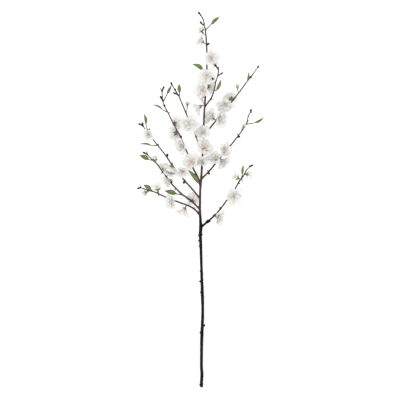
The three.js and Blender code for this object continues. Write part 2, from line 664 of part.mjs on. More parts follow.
const numbered = (word, index) => `${word}_${String(index + 1).padStart(2, '0')}`;

addPiece('branch', wood, 'bark');
BLOOMS.forEach((row, index) => {
  const placed = CARRYING_BLOOMS.includes(index + 1) ? touchingDown(row, index) : row;
  addPiece(numbered('bloom', index), clearOfWood(flowerSolid(placed, index, true)), 'petal');
});
HALF_OPEN.forEach((row, index) => {
  const seed = BLOOMS.length + index;
  addPiece(numbered('half_open', index), clearOfWood(flowerSolid(row, seed, false)), 'petal');
});
CLOSED_BUDS.forEach((row, index) => {
  addPiece(numbered('bud', index), clearOfWood(closedBudSolid(row)), 'petal');
});
LEAVES.forEach((row, index) => {
  addPiece(numbered('leaf', index), clearOfWood(leafSolid(row)), 'leaf');
});

export default sprig;
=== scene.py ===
"""A cut sprig of double cherry blossom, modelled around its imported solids.

Metres, +Z up. +Y runs from the cut end to the tip, and the sprig lies on its surface at z = 0.
"""
import logging
import math
from contextlib import contextmanager
from dataclasses import dataclass, replace
from enum import Enum
from typing import Iterable, Iterator, Sequence

import bmesh
import bpy
import numpy as np
from mathutils import Matrix, Vector


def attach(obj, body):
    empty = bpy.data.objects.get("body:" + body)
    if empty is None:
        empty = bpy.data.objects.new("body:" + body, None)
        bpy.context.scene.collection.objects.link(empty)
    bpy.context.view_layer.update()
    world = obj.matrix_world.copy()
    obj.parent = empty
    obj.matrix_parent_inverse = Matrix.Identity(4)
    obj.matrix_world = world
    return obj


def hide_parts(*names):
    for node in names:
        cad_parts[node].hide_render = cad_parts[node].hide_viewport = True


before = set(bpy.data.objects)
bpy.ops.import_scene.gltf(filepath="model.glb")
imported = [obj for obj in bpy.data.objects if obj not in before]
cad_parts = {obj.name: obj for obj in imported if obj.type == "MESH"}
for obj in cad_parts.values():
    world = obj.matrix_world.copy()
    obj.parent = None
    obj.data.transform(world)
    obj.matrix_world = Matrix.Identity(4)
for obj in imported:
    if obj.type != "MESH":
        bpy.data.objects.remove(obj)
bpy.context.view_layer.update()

log = logging.getLogger("sprig")

Material = bpy.types.Material
Piece = bpy.types.Object
Placed = tuple[Piece, Matrix]
Socket = bpy.types.NodeSocket
Colour = tuple[float, float, float]
Triple = tuple[float, float, float]
Pair = tuple[float, float]

MM = 0.001
BODY = "root"
UP = Vector((0, 0, 1))

# Sizes that the flowers share, in millimetres and radians
PETALS = 5
PETAL_STEP = 2 * math.pi / PETALS
PEDICEL_RADIUS = 0.95
PEDICEL_BEND = 0.35
CALYX_LENGTH = 6.5
CALYX_FOOT_RADIUS = 1.3

# How many ways each kind of petal is crumpled
TAKES = 4

# Petals that would reach under the surface: pressed flat from this height, to this share of their depth
REST_FROM = 0.6 * MM
REST_SQUASH = 0.08

# The draw of scattered numbers
DRAW_WAVES = (12.9898, 78.233, 37.719)
DRAW_HEIGHT = 43758.5453


class Throat(Enum):
    """The tint in the middle of an open flower."""

    PLAIN = "plain"
    BEIGE = "beige"
    PEACH = "peach"
    ROSE = "rose"


class Growth(Enum):
    """What grows on the wood besides flowers and leaves."""

    BUD = "bud"
    SPUR = "spur"
    KNOT = "knot"


# The stem and its twigs, in millimetres. Each row is x, y, z and radius, from the limb's root to its tip.
LIMBS = {
    "main": (
        (3, -488, 3.14, 3.4), (3, -472, 3.14, 3.4), (4, -455, 3.14, 3.4), (3, -438, 3.5, 3.3),
        (3, -398, 5, 3.2), (4, -348, 6, 3.6), (5, -329, 7, 3.3), (6, -280, 9, 3.1), (5, -242, 11, 3.6),
        (4, -213, 12, 3.2), (3, -182, 13, 3), (2, -150, 15, 3), (1, -114, 16, 3.3), (0, -92, 17, 3.6),
        (1, -70, 18, 3.9), (0, -49, 20, 2.9), (-1, -32, 21, 2.9), (-1, -4, 22, 2.5), (0, 31, 25, 2.4),
        (2, 55, 26, 2.5), (4, 89, 29, 2.2), (7, 143, 32, 2.1), (9, 200, 35, 2), (11, 242, 37, 2),
        (14, 284, 38, 1.8), (17, 346, 41, 1.75), (17, 381, 42, 1.65), (16, 404, 42, 1.65),
        (14, 431, 43, 1.55), (11, 452, 43, 1.35), (7, 469, 44, 1.2), (3, 477, 44, 1.2),
        (-4, 486, 44, 1.1),
    ),
    "right_low": (
        (2, -70, 18, 2.5), (13, -61, 20, 2.3), (28, -48, 22, 1.9), (41, -36, 24, 1.85),
        (55, -19, 25, 1.75), (67, -3, 26, 1.65), (80, 15, 28, 1.55), (91, 31, 29, 1.45),
        (100, 47, 31, 1.55), (111, 62, 33, 1.45), (121, 79, 36, 1.2), (130, 88, 38, 1),
    ),
    "right_mid": (
        (3, 55, 26, 2), (11, 63, 29, 1.9), (21, 73, 31, 1.8), (40, 96, 36, 1.75), (54, 113, 40, 1.65),
        (77, 140, 46, 1.55), (95, 163, 51, 1.45), (112, 186, 55, 1.35), (121, 202, 57, 1.35),
        (124, 217, 58, 1.2), (131, 231, 60, 1),
    ),
    "right_long": (
        (8, 168, 33, 1.8), (22, 184, 32, 1.75), (36, 201, 30, 1.65), (57, 226, 30, 1.65),
        (77, 250, 28, 1.45), (86, 261, 28, 1.45), (105, 286, 28, 1.35), (121, 308, 28, 1.35),
        (130, 319, 28, 1.25), (142, 335, 30, 1.1), (150, 346, 32, 1),
    ),
    "right_top": (
        (11, 240, 37, 1.75), (18, 251, 40, 1.65), (27, 263, 44, 1.55), (35, 283, 49, 1.45),
        (40, 307, 54, 1.35), (45, 323, 58, 1.25), (47, 336, 60, 1.2), (47, 345, 62, 1),
    ),
    "left_top": (
        (6, 122, 31, 1.8), (-7, 154, 37, 1.75), (-18, 181, 42, 1.65), (-31, 210, 47, 1.55),
        (-39, 230, 51, 1.45), (-48, 251, 55, 1.35), (-56, 270, 58, 1.35), (-66, 286, 61, 1.2),
        (-74, 299, 63, 1),
    ),
    "left_upper": (
        (0, 33, 25, 1.9), (-6, 58, 26, 1.85), (-18, 81, 27, 1.75), (-31, 116, 28, 1.65),
        (-44, 145, 30, 1.55), (-51, 163, 30, 1.55), (-60, 179, 30, 1.45), (-70, 198, 30, 1.45),
        (-83, 225, 32, 1.35), (-94, 246, 35, 1.25), (-98, 260, 37, 1.2), (-99, 271, 39, 1.1),
        (-100, 285, 42, 1),
    ),
    "left_long": (
        (0, 3, 23, 1.9), (-11, 16, 26, 1.85), (-25, 33, 30, 1.75), (-39, 48, 34, 1.75),
        (-50, 62, 38, 1.65), (-65, 80, 42, 1.55), (-80, 101, 46, 1.55), (-88, 113, 49, 1.45),
        (-109, 140, 54, 1.35), (-125, 160, 58, 1.25), (-141, 182, 62, 1.1), (-151, 194, 65, 1),
    ),
    "left_mid": (
        (-1, -25, 21, 2), (-11, -14, 22, 1.9), (-24, -2, 24, 1.85), (-50, 17, 28, 1.75),
        (-62, 29, 31, 1.65), (-76, 44, 34, 1.55), (-90, 63, 38, 1.45), (-100, 76, 40, 1.45),
        (-113, 94, 44, 1.35), (-121, 101, 46, 1.35), (-130, 110, 48, 1.1), (-139, 120, 50, 1),
    ),
    "left_low": (
        (-2, -38, 20, 2.1), (-16, -23, 22, 1.95), (-30, -15, 22, 1.85), (-46, -9, 22, 1.75),
        (-60, -4, 23, 1.65), (-76, 2, 24, 1.55), (-93, 9, 24, 1.45), (-106, 15, 25, 1.45),
        (-121, 22, 26, 1.35), (-135, 25, 28, 1.2), (-148, 30, 29, 1.1), (-157, 33, 30, 1),
    ),
}

# Dark buds, bare spurs and knots: limb, share of its length, tip, radius and kind.
GROWTHS = (
    ("main", 0.99, (-6, 489, 45), 2.8, Growth.BUD),
    ("main", 0.96, (-2, 464, 46), 2.7, Growth.BUD),
    ("main", 0.91, (24, 408, 44), 2.8, Growth.BUD),
    ("main", 0.81, (15, 307, 46), 3.2, Growth.BUD),
    ("main", 0.95, (16, 442, 45), 1.6, Growth.KNOT),
    ("main", 0.16, (12, -326, 8), 2, Growth.KNOT),
    ("right_low", 0.99, (137, 92, 39), 2.8, Growth.BUD),
    ("right_low", 0.98, (126, 93, 38), 1.25, Growth.SPUR),
    ("right_low", 0.35, (49, -20, 27), 2.8, Growth.BUD),
    ("right_low", 0.1, (23, -56, 22), 4, Growth.KNOT),
    ("right_low", 0.24, (42, -44, 23), 2.1, Growth.KNOT),
    ("right_low", 0.8, (111, 49, 31), 1.25, Growth.SPUR),
    ("right_low", 0.74, (104, 41, 32), 1.6, Growth.KNOT),
    ("right_mid", 0.1, (26, 68, 29), 2.8, Growth.BUD),
    ("right_mid", 0.12, (18, 79, 32), 1.25, Growth.SPUR),
    ("right_mid", 0.65, (104, 165, 52), 2.8, Growth.BUD),
    ("right_mid", 0.67, (94, 173, 53), 1.25, Growth.SPUR),
    ("right_mid", 0.99, (132, 237, 61), 2.7, Growth.BUD),
    ("right_mid", 0.98, (136, 228, 60), 1.25, Growth.SPUR),
    ("right_mid", 0.87, (128, 206, 58), 1.2, Growth.KNOT),
    ("right_long", 0.35, (59, 231, 35), 3.5, Growth.BUD),
    ("right_long", 0.85, (133, 322, 31), 3.2, Growth.BUD),
    ("right_long", 0.99, (152, 350, 32), 2.7, Growth.BUD),
    ("right_top", 0.94, (36, 353, 63), 2.7, Growth.BUD),
    ("right_top", 0.79, (59, 331, 58), 2.3, Growth.BUD),
    ("right_top", 0.63, (30, 317, 63), 2.6, Growth.BUD),
    ("right_top", 0.23, (32, 262, 44), 1.25, Growth.SPUR),
    ("left_top", 0.99, (-77, 306, 64), 2.7, Growth.BUD),
    ("left_top", 0.84, (-71, 279, 57), 2.6, Growth.BUD),
    ("left_top", 0.91, (-67, 289, 64), 3, Growth.BUD),
    ("left_upper", 0.99, (-94, 296, 42), 2.7, Growth.BUD),
    ("left_upper", 0.98, (-104, 292, 41), 1.25, Growth.SPUR),
    ("left_upper", 0.9, (-105, 271, 38), 3, Growth.BUD),
    ("left_upper", 0.52, (-48, 165, 33), 3.2, Growth.BUD),
    ("left_upper", 0.84, (-95, 249, 38), 3, Growth.BUD),
    ("left_upper", 0.77, (-79, 228, 35), 1.38, Growth.SPUR),
    ("left_long", 0.99, (-161, 199, 66), 2.7, Growth.BUD),
    ("left_long", 0.98, (-151, 202, 66), 2.8, Growth.BUD),
    ("left_long", 0.25, (-45, 43, 36), 3.4, Growth.BUD),
    ("left_long", 0.24, (-40, 54, 35), 1.38, Growth.SPUR),
    ("left_long", 0.57, (-85, 121, 51), 3.2, Growth.BUD),
    ("left_long", 0.72, (-109, 147, 56), 1.38, Growth.SPUR),
    ("left_long", 0.89, (-131, 186, 66), 2.9, Growth.BUD),
    ("left_mid", 0.99, (-150, 125, 51), 2.7, Growth.BUD),
    ("left_mid", 0.98, (-140, 128, 51), 1.25, Growth.SPUR),
    ("left_mid", 0.51, (-74, 50, 37), 2.7, Growth.BUD),
    ("left_mid", 0.43, (-66, 26, 31), 1.38, Growth.SPUR),
    ("left_mid", 0.68, (-103, 69, 42), 1.4, Growth.SPUR),
    ("left_mid", 0.66, (-91, 75, 41), 1.3, Growth.SPUR),
    ("left_low", 0.99, (-165, 30, 31), 2.7, Growth.BUD),
    ("left_low", 0.98, (-158, 39, 32), 1.25, Growth.SPUR),
    ("left_low", 0.12, (-14, -18, 24), 1.3, Growth.KNOT),
    ("left_low", 0.69, (-110, 10, 25), 1.38, Growth.SPUR),
)

# Bud scars and swellings that only the fine bark has, in the same form.
SCARS = (
    ("main", 0.006, (-3, -481, 4.5), 2.8, Growth.KNOT),
    ("main", 0.146, (-2.4, -345, 7), 3, Growth.KNOT),
    ("main", 0.163, (12.5, -325, 8), 3.8, Growth.KNOT),
    ("main", 0.252, (-1.2, -240, 12), 3, Growth.KNOT),
    ("main", 0.281, (-3.8, -211, 13), 2.9, Growth.KNOT),
    ("main", 0.308, (-2.3, -185, 14), 2.5, Growth.KNOT),
    ("main", 0.375, (-4.6, -120, 17), 2.8, Growth.KNOT),
    ("main", 0.390, (-6, -105, 18), 3, Growth.KNOT),
    ("main", 0.404, (-6.4, -91, 18), 3, Growth.KNOT),
    ("main", 0.406, (6.2, -90, 19), 2.7, Growth.KNOT),
    ("right_low", 0.09, (20, -51, 22), 3.5, Growth.KNOT),
    ("right_low", 0.14, (24, -58, 22), 3, Growth.KNOT),
    ("right_low", 0.2, (37, -36, 24), 2.3, Growth.KNOT),
)

# Open flowers: limb, share of its length, middle of the flower, the compass direction and the height in
# degrees that it faces, the petals' length, how far they open in degrees, and the throat.
BLOOMS = (
    ("right_low", 0.29, (44, -44, 34), -15, 28, 22, 66, Throat.BEIGE),
    ("right_low", 0.59, (84, 11, 40), -20, 62, 24.5, 70, Throat.BEIGE),
    ("right_mid", 0.27, (40, 105, 46), 122, 46, 21, 64, Throat.PLAIN),
    ("right_mid", 0.32, (56, 103, 48), -50, 34, 21, 62, Throat.PLAIN),
    ("right_mid", 0.41, (60, 130, 53), -5, 44, 21, 68, Throat.ROSE),
    ("right_long", 0.44, (65, 250, 42), 262, 44, 23, 70, Throat.BEIGE),
    ("right_long", 0.55, (80, 264, 13.25), 110, -62, 18, 66, Throat.PLAIN),
    ("right_long", 0.28, (48, 212, 43), -8, 40, 22, 68, Throat.PEACH),
    ("right_long", 0.19, (33, 212, 42), 155, 26, 22.5, 62, Throat.PLAIN),
    ("main", 0.91, (6, 410, 49), 148, 26, 17.5, 60, Throat.BEIGE),
    ("main", 0.88, (27, 368, 53), 5, 66, 22, 70, Throat.ROSE),
    ("main", 0.83, (17, 321, 53), 90, 78, 21.5, 70, Throat.BEIGE),
    ("main", 0.79, (9, 286, 50), 178, 50, 23, 68, Throat.ROSE),
    ("main", 0.8, (20, 295, 28), -20, -50, 19, 64, Throat.PLAIN),
    ("main", 0.78, (6, 270, 33), 225, 0, 16.5, 58, Throat.BEIGE),
    ("main", 0.75, (1, 244, 34), 203, -10, 22, 56, Throat.PLAIN),
    ("main", 0.68, (7, 174, 47), 120, 66, 21, 70, Throat.ROSE),
    ("main", 0.64, (8, 133, 44), 45, 56, 22, 70, Throat.PEACH),
    ("left_upper", 0.27, (-23, 98, 41), 150, 68, 21, 70, Throat.PEACH),
    ("main", 0.6, (5, 95, 40), 100, 50, 18, 62, Throat.PLAIN),
    ("left_top", 0.43, (-29, 195, 59), 60, 78, 24, 74, Throat.BEIGE),
    ("left_upper", 0.64, (-67, 200, 21), 25, -46, 20, 62, Throat.PLAIN),
    ("left_upper", 0.56, (-64, 174, 15.67), 200, -60, 19, 66, Throat.PLAIN),
    ("left_upper", 0.45, (-45, 142, 40), 195, 42, 21, 62, Throat.ROSE),
    ("left_long", 0.32, (-46, 76, 53), 262, 56, 18, 64, Throat.ROSE),
    ("left_long", 0.86, (-132, 170, 68), 200, 55, 17, 64, Throat.ROSE),
    ("left_long", 0.51, (-74, 87, 60), -115, -28, 17.5, 64, Throat.PLAIN),
    ("left_mid", 0.69, (-95, 81, 32), 80, -32, 17, 62, Throat.BEIGE),
    ("left_mid", 0.6, (-83, 70, 44.5), 60, 46, 18, 64, Throat.BEIGE),
    ("left_mid", 0.49, (-80, 51, 42.5), 205, 24, 18.5, 60, Throat.ROSE),
    ("left_mid", 0.17, (-22, -2, 17), 75, -60, 19, 62, Throat.PLAIN),
    ("left_low", 0.42, (-72, -4, 33), 195, 42, 22, 66, Throat.PLAIN),
    ("left_low", 0.23, (-40, -21, 20), -116, -4, 23.5, 49, Throat.ROSE),
)

# Half-open flowers, by the same rule.
HALF_OPEN = (
    ("right_low", 0.8, (98, 57, 34), 150, 18, 16, 44, Throat.PLAIN),
    ("right_low", 0.84, (121, 67, 32), -5, 12, 15, 42, Throat.PLAIN),
    ("left_mid", 0.82, (-117, 103, 46), 100, 15, 14.5, 42, Throat.PLAIN),
    ("left_low", 0.85, (-142, 20, 26), 205, 12, 14.5, 44, Throat.PLAIN),
    ("left_low", 0.69, (-111, 27, 27), 100, 26, 17, 50, Throat.PLAIN),
    ("main", 0.935, (4, 438, 43), 122, 20, 15, 44, Throat.PLAIN),
)

# Closed white buds: limb, share of its length, foot of the bud, and the direction that it points.
CLOSED_BUDS = (
    ("right_long", 0.63, (97, 287, 29), 95, 12),
    ("left_top", 0.57, (-34, 241, 51), 88, 12),
    ("right_mid", 0.72, (108, 184, 62), 57, 8),
)

# Leaves: limb, share of its length, foot and tip of the blade, width, roll in degrees about the midrib,
# and how far the midrib bows to the left of the straight line.
LEAVES = (
    ("right_low", 0.8, (109, 66, 36), (112, 92, 42), 8.5, 35, 1.5),
    ("right_mid", 0.83, (139, 200, 58), (165, 215, 54), 9, 40, -1.5),
    ("right_long", 0.76, (122, 310, 31), (125, 333, 35), 8, 40, -1),
    ("right_top", 0.45, (41, 284, 52), (54, 313, 51), 9.5, 25, -1),
    ("main", 0.95, (27, 455, 44), (51, 477, 46), 10, 15, 1.5),
    ("main", 0.84, (8, 336, 42), (-21, 353, 44), 12.5, 20, -3.5),
    ("left_top", 0.81, (-54, 277, 60), (-55, 302, 63), 10.5, 10, 0.5),
    ("left_upper", 0.78, (-97, 234, 35), (-125, 248, 37), 8.5, 50, -2.5),
    ("left_upper", 0.89, (-87, 274, 39), (-74, 299, 41), 8.5, 30, 1),
    ("left_upper", 0.02, (-3, 42, 29), (-33, 79, 41), 13, 20, -2),
    ("left_long", 0.73, (-125, 141, 52), (-160, 145, 47), 8.5, 50, -2.5),
    ("left_long", 0.89, (-141, 195, 63), (-146, 224, 65), 9.5, 30, -1.5),
    ("left_mid", 0.88, (-133, 105, 45), (-158, 117, 43), 13.5, 15, -0.5),
    ("left_mid", 0.285, (-61, 16, 26), (-93, 24, 23), 14, 15, -0.5),
    ("left_low", 0.79, (-127, 26, 29), (-148, 40, 32), 12.5, 15, -0.5),
)

# Hand tools


def draw(first: float, second: float, third: float) -> float:
    """Gives the same number between 0 and 1 each time for the same three numbers.

    Args:
        first: Usually the flower's number.
        second: Usually the petal's number.
        third: Tells apart the draws for one petal.

    Returns:
        A number from 0 up to 1.
    """
    phase = first * DRAW_WAVES[0] + second * DRAW_WAVES[1] + third * DRAW_WAVES[2]
    wave = math.sin(phase) * DRAW_HEIGHT
    return wave - math.floor(wave)


def spread(first: float, second: float, third: float, most: float) -> float:
    """Draws a number between -most and most, by the same rule as draw."""
    return (2 * draw(first, second, third) - 1) * most


def clear_selection() -> None:
    """Deselects every object, so that an operator acts only on what is chosen next."""
    bpy.ops.object.select_all(action="DESELECT")


def take(piece: Piece) -> None:
    """Makes a piece the only one selected, and the active one.

    Args:
        piece: The piece to work on next.
    """
    clear_selection()
    piece.select_set(True)
    bpy.context.view_layer.objects.active = piece


def pick(piece: Piece, wanted: Iterable[int]) -> None:
    """Selects a piece's points by number, in edit mode.

    Args:
        piece: The piece that is being edited.
        wanted: The numbers of the points to select.
    """
    chosen = set(wanted)
    mesh = bmesh.from_edit_mesh(piece.data)
    for point in mesh.verts:
        point.select = point.index in chosen
    mesh.select_flush_mode()
    bmesh.update_edit_mesh(piece.data, loop_triangles=False, destructive=False)


def shift(x: float, y: float, z: float) -> None:
    """Moves what is selected in edit mode."""
    bpy.ops.transform.translate(value=(x, y, z))


def scale_about(centre: Triple, x: float, y: float, z: float) -> None:
    """Scales what is selected in edit mode about a place."""
    bpy.ops.transform.resize(value=(x, y, z), center_override=centre)


def modify(piece: Piece, kind: str, **settings: object) -> None:
    """Adds a modifier to a piece and applies it.

    Args:
        piece: The piece to change.
        kind: The modifier's type.
        **settings: Values for the modifier's own properties.
    """
    take(piece)
    modifier = piece.modifiers.new(kind.lower(), kind)
    for key, value in settings.items():
        setattr(modifier, key, value)
    bpy.ops.object.modifier_apply(modifier=modifier.name)


def smooth(piece: Piece) -> None:
    """Shades a piece smooth."""
    take(piece)
    bpy.ops.object.shade_smooth()


def round_off(piece: Piece) -> None:
    """Subdivides a piece once to round it, and shades it smooth."""
    modify(piece, "SUBSURF", levels=1, render_levels=1)
    smooth(piece)


def thicken(piece: Piece, thickness: float) -> None:
    """Gives a sheet its thickness, on its under side."""
    modify(piece, "SOLIDIFY", thickness=thickness, offset=-1.0)


def settled(name: str) -> Piece:
    """Names the primitive that was just added, and applies its place.

    Args:
        name: The piece's name.

    Returns:
        The piece, whose object sits at the origin.
    """
    piece = bpy.context.object
    piece.name = name
    bpy.ops.object.transform_apply()
    return piece


@contextmanager
def editing(piece: Piece) -> Iterator[None]:
    """Keeps a piece in edit mode for the lines inside.

    Args:
        piece: The piece to edit.

    Yields:
        Nothing.
    """
    take(piece)
    bpy.ops.object.mode_set(mode="EDIT")
    yield
    bpy.ops.object.mode_set(mode="OBJECT")


def sheet(name: str, columns: int, rows: int) -> Piece:
    """Adds a flat grid one unit wide and one unit long, which runs along y from the origin.

    Args:
        name: The piece's name.
        columns: How many faces it has across.
        rows: How many faces it has along.

    Returns:
        The sheet.
    """
    clear_selection()
    bpy.ops.mesh.primitive_grid_add(x_subdivisions=columns, y_subdivisions=rows, size=1, location=(0, 0.5, 0))
    return settled(name)


def row_of(row: int, columns: int) -> range:
    """Gives the numbers of a sheet's points in one row."""
    return range(row * (columns + 1), (row + 1) * (columns + 1))


def column_of(column: int, columns: int, rows: int) -> range:
    """Gives the numbers of a sheet's points in one column."""
    return range(column, (columns + 1) * (rows + 1), columns + 1)


def ringed(name: str, rings: Sequence[Pair], sides: int, sways: Pair = (0.0, 0.0)) -> Piece:
    """Models a round closed form from a disc, extruded ring by ring.

    Args:
        name: The form's name.
        rings: Heights and radii, from the foot up.
        sides: How many sides it has.
        sways: How far off the axis every other ring is scaled about.

    Returns:
        The form.
    """
    clear_selection()
    low, radius = rings[0]
    bpy.ops.mesh.primitive_circle_add(vertices=sides, radius=radius, fill_type="NGON", location=(0, 0, low))
    form = settled(name)
    with editing(form):
        bpy.ops.mesh.select_all(action="SELECT")
        for number, (height, wide) in enumerate(rings[1:]):
            bpy.ops.mesh.extrude_region_move(TRANSFORM_OT_translate={"value": (0, 0, height - low)})
            scale_about((sways[number % 2], 0, height), wide / radius, wide / radius, 1)
            low, radius = height, wide
        bpy.ops.mesh.select_all(action="SELECT")
        bpy.ops.mesh.normals_make_consistent(inside=False)
    return form


def clouds(name: str, size: float, coloured: bool = False) -> bpy.types.Texture:
    """Makes a cloudy noise for a Displace modifier.

    Args:
        name: The texture's name.
        size: How large the clouds are, in the piece's own units.
        coloured: Whether x, y and z get a noise of their own.

    Returns:
        The texture.
    """
    texture = bpy.data.textures.new(name, "CLOUDS")
    texture.noise_scale = size
    texture.noise_depth = 1
    texture.cloud_type = "COLOR" if coloured else "GRAYSCALE"
    return texture


def tube(name: str, stations: Sequence[tuple[Vector, float]], rounding: int, steps: int) -> Piece:
    """Makes a round stalk through stations, as a bevelled curve turned into a mesh.

    Args:
        name: The piece's name.
        stations: Places and radii, in metres.
        rounding: The bevel's resolution.
        steps: How many rings there are from one station to the next.

    Returns:
        The stalk, closed at both ends.
    """
    wire = _wire(name)
    knots = wire.data.splines[0].bezier_points
    knots.add(len(stations) - 2)
    for knot, (place, radius) in zip(knots, stations):
        knot.co = place
        knot.radius = radius
        knot.handle_left_type = "AUTO"
        knot.handle_right_type = "AUTO"
    return _tube_mesh(wire, rounding, steps)


def bent_tube(name: str, ends: Sequence[Vector], pulls: Sequence[Vector], radii: Pair) -> Piece:
    """Makes a slim stalk along one Bezier bend.

    Args:
        name: The piece's name.
        ends: The first and the last place.
        pulls: The two places that the bend is pulled towards.
        radii: The radius at each end, in metres.

    Returns:
        The stalk, closed at both ends.
    """
    wire = _wire(name)
    first, last = wire.data.splines[0].bezier_points
    for knot in (first, last):
        knot.handle_left_type = "FREE"
        knot.handle_right_type = "FREE"
    first.co, last.co = ends
    first.handle_right, last.handle_left = pulls
    first.handle_left = 2 * first.co - first.handle_right
    last.handle_right = 2 * last.co - last.handle_left
    first.radius, last.radius = radii
    return _tube_mesh(wire, rounding=2, steps=10)


def _wire(name: str) -> Piece:
    """Adds a curve of two knots, to be bent and thickened.

    Args:
        name: The piece's name.

    Returns:
        The curve, which is selected.
    """
    clear_selection()
    bpy.ops.curve.primitive_bezier_curve_add(location=(0, 0, 0))
    wire = bpy.context.object
    wire.name = name
    return wire


def _tube_mesh(wire: Piece, rounding: int, steps: int) -> Piece:
    """Gives a curve its round section and turns it into a mesh.

    Args:
        wire: The curve.
        rounding: The bevel's resolution.
        steps: How many rings there are from one station to the next.

    Returns:
        The same object, now a mesh.
    """
    wire.data.bevel_depth = 1.0
    wire.data.bevel_resolution = rounding
    wire.data.resolution_u = steps
    wire.data.use_fill_caps = True
    bpy.ops.object.convert(target="MESH")
    stalk = bpy.context.object
    smooth(stalk)
    return stalk


def stamp(name: str, copies: Iterable[Placed]) -> Piece:
    """Copies masters to their places, each with its own mesh, and joins the copies in one piece.

    Args:
        name: The new piece's name.
        copies: Masters and the matrices that place them.

    Returns:
        The joined piece, whose object sits at the origin.
    """
    placed = []
    for master, place in copies:
        copy = bpy.data.objects.new(name, master.data.copy())
        copy.data.transform(place)
        bpy.context.collection.objects.link(copy)
        placed.append(copy)
    return join(name, placed)


def join(name: str, parts: Sequence[Piece]) -> Piece:
    """Joins parts in one piece under a new name.

    Args:
        name: The new piece's name.
        parts: What to join, with the part to keep first.

    Returns:
        The joined piece.
    """
    take(parts[0])
    for part in parts[1:]:
        part.select_set(True)
    bpy.ops.object.join()
    parts[0].name = name
    parts[0].data.name = name
    return parts[0]


def rest(piece: Piece) -> None:
    """Presses whatever would reach under the surface flat against it.

    Args:
        piece: The piece, whose places are metres above the surface.
    """
    for point in piece.data.vertices:
        if point.co.z < REST_FROM:
            point.co.z = REST_FROM + (point.co.z - REST_FROM) * REST_SQUASH


def dress(piece: Piece, slot: str, node: str, *finishes: Material) -> None:
    """Gives a piece its finish and its body, hides the node that it stands for, and reports it.

    Args:
        piece: The finished piece.
        slot: Not used.
        node: The node that the piece replaces.
        *finishes: The piece's materials, in the order of its slots.
    """
    piece.data.materials.clear()
    for finish in finishes:
        piece.data.materials.append(finish)
    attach(piece, BODY)
    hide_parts(node)
    log.info("%s: %d faces", piece.name, len(piece.data.polygons))


# Finishes


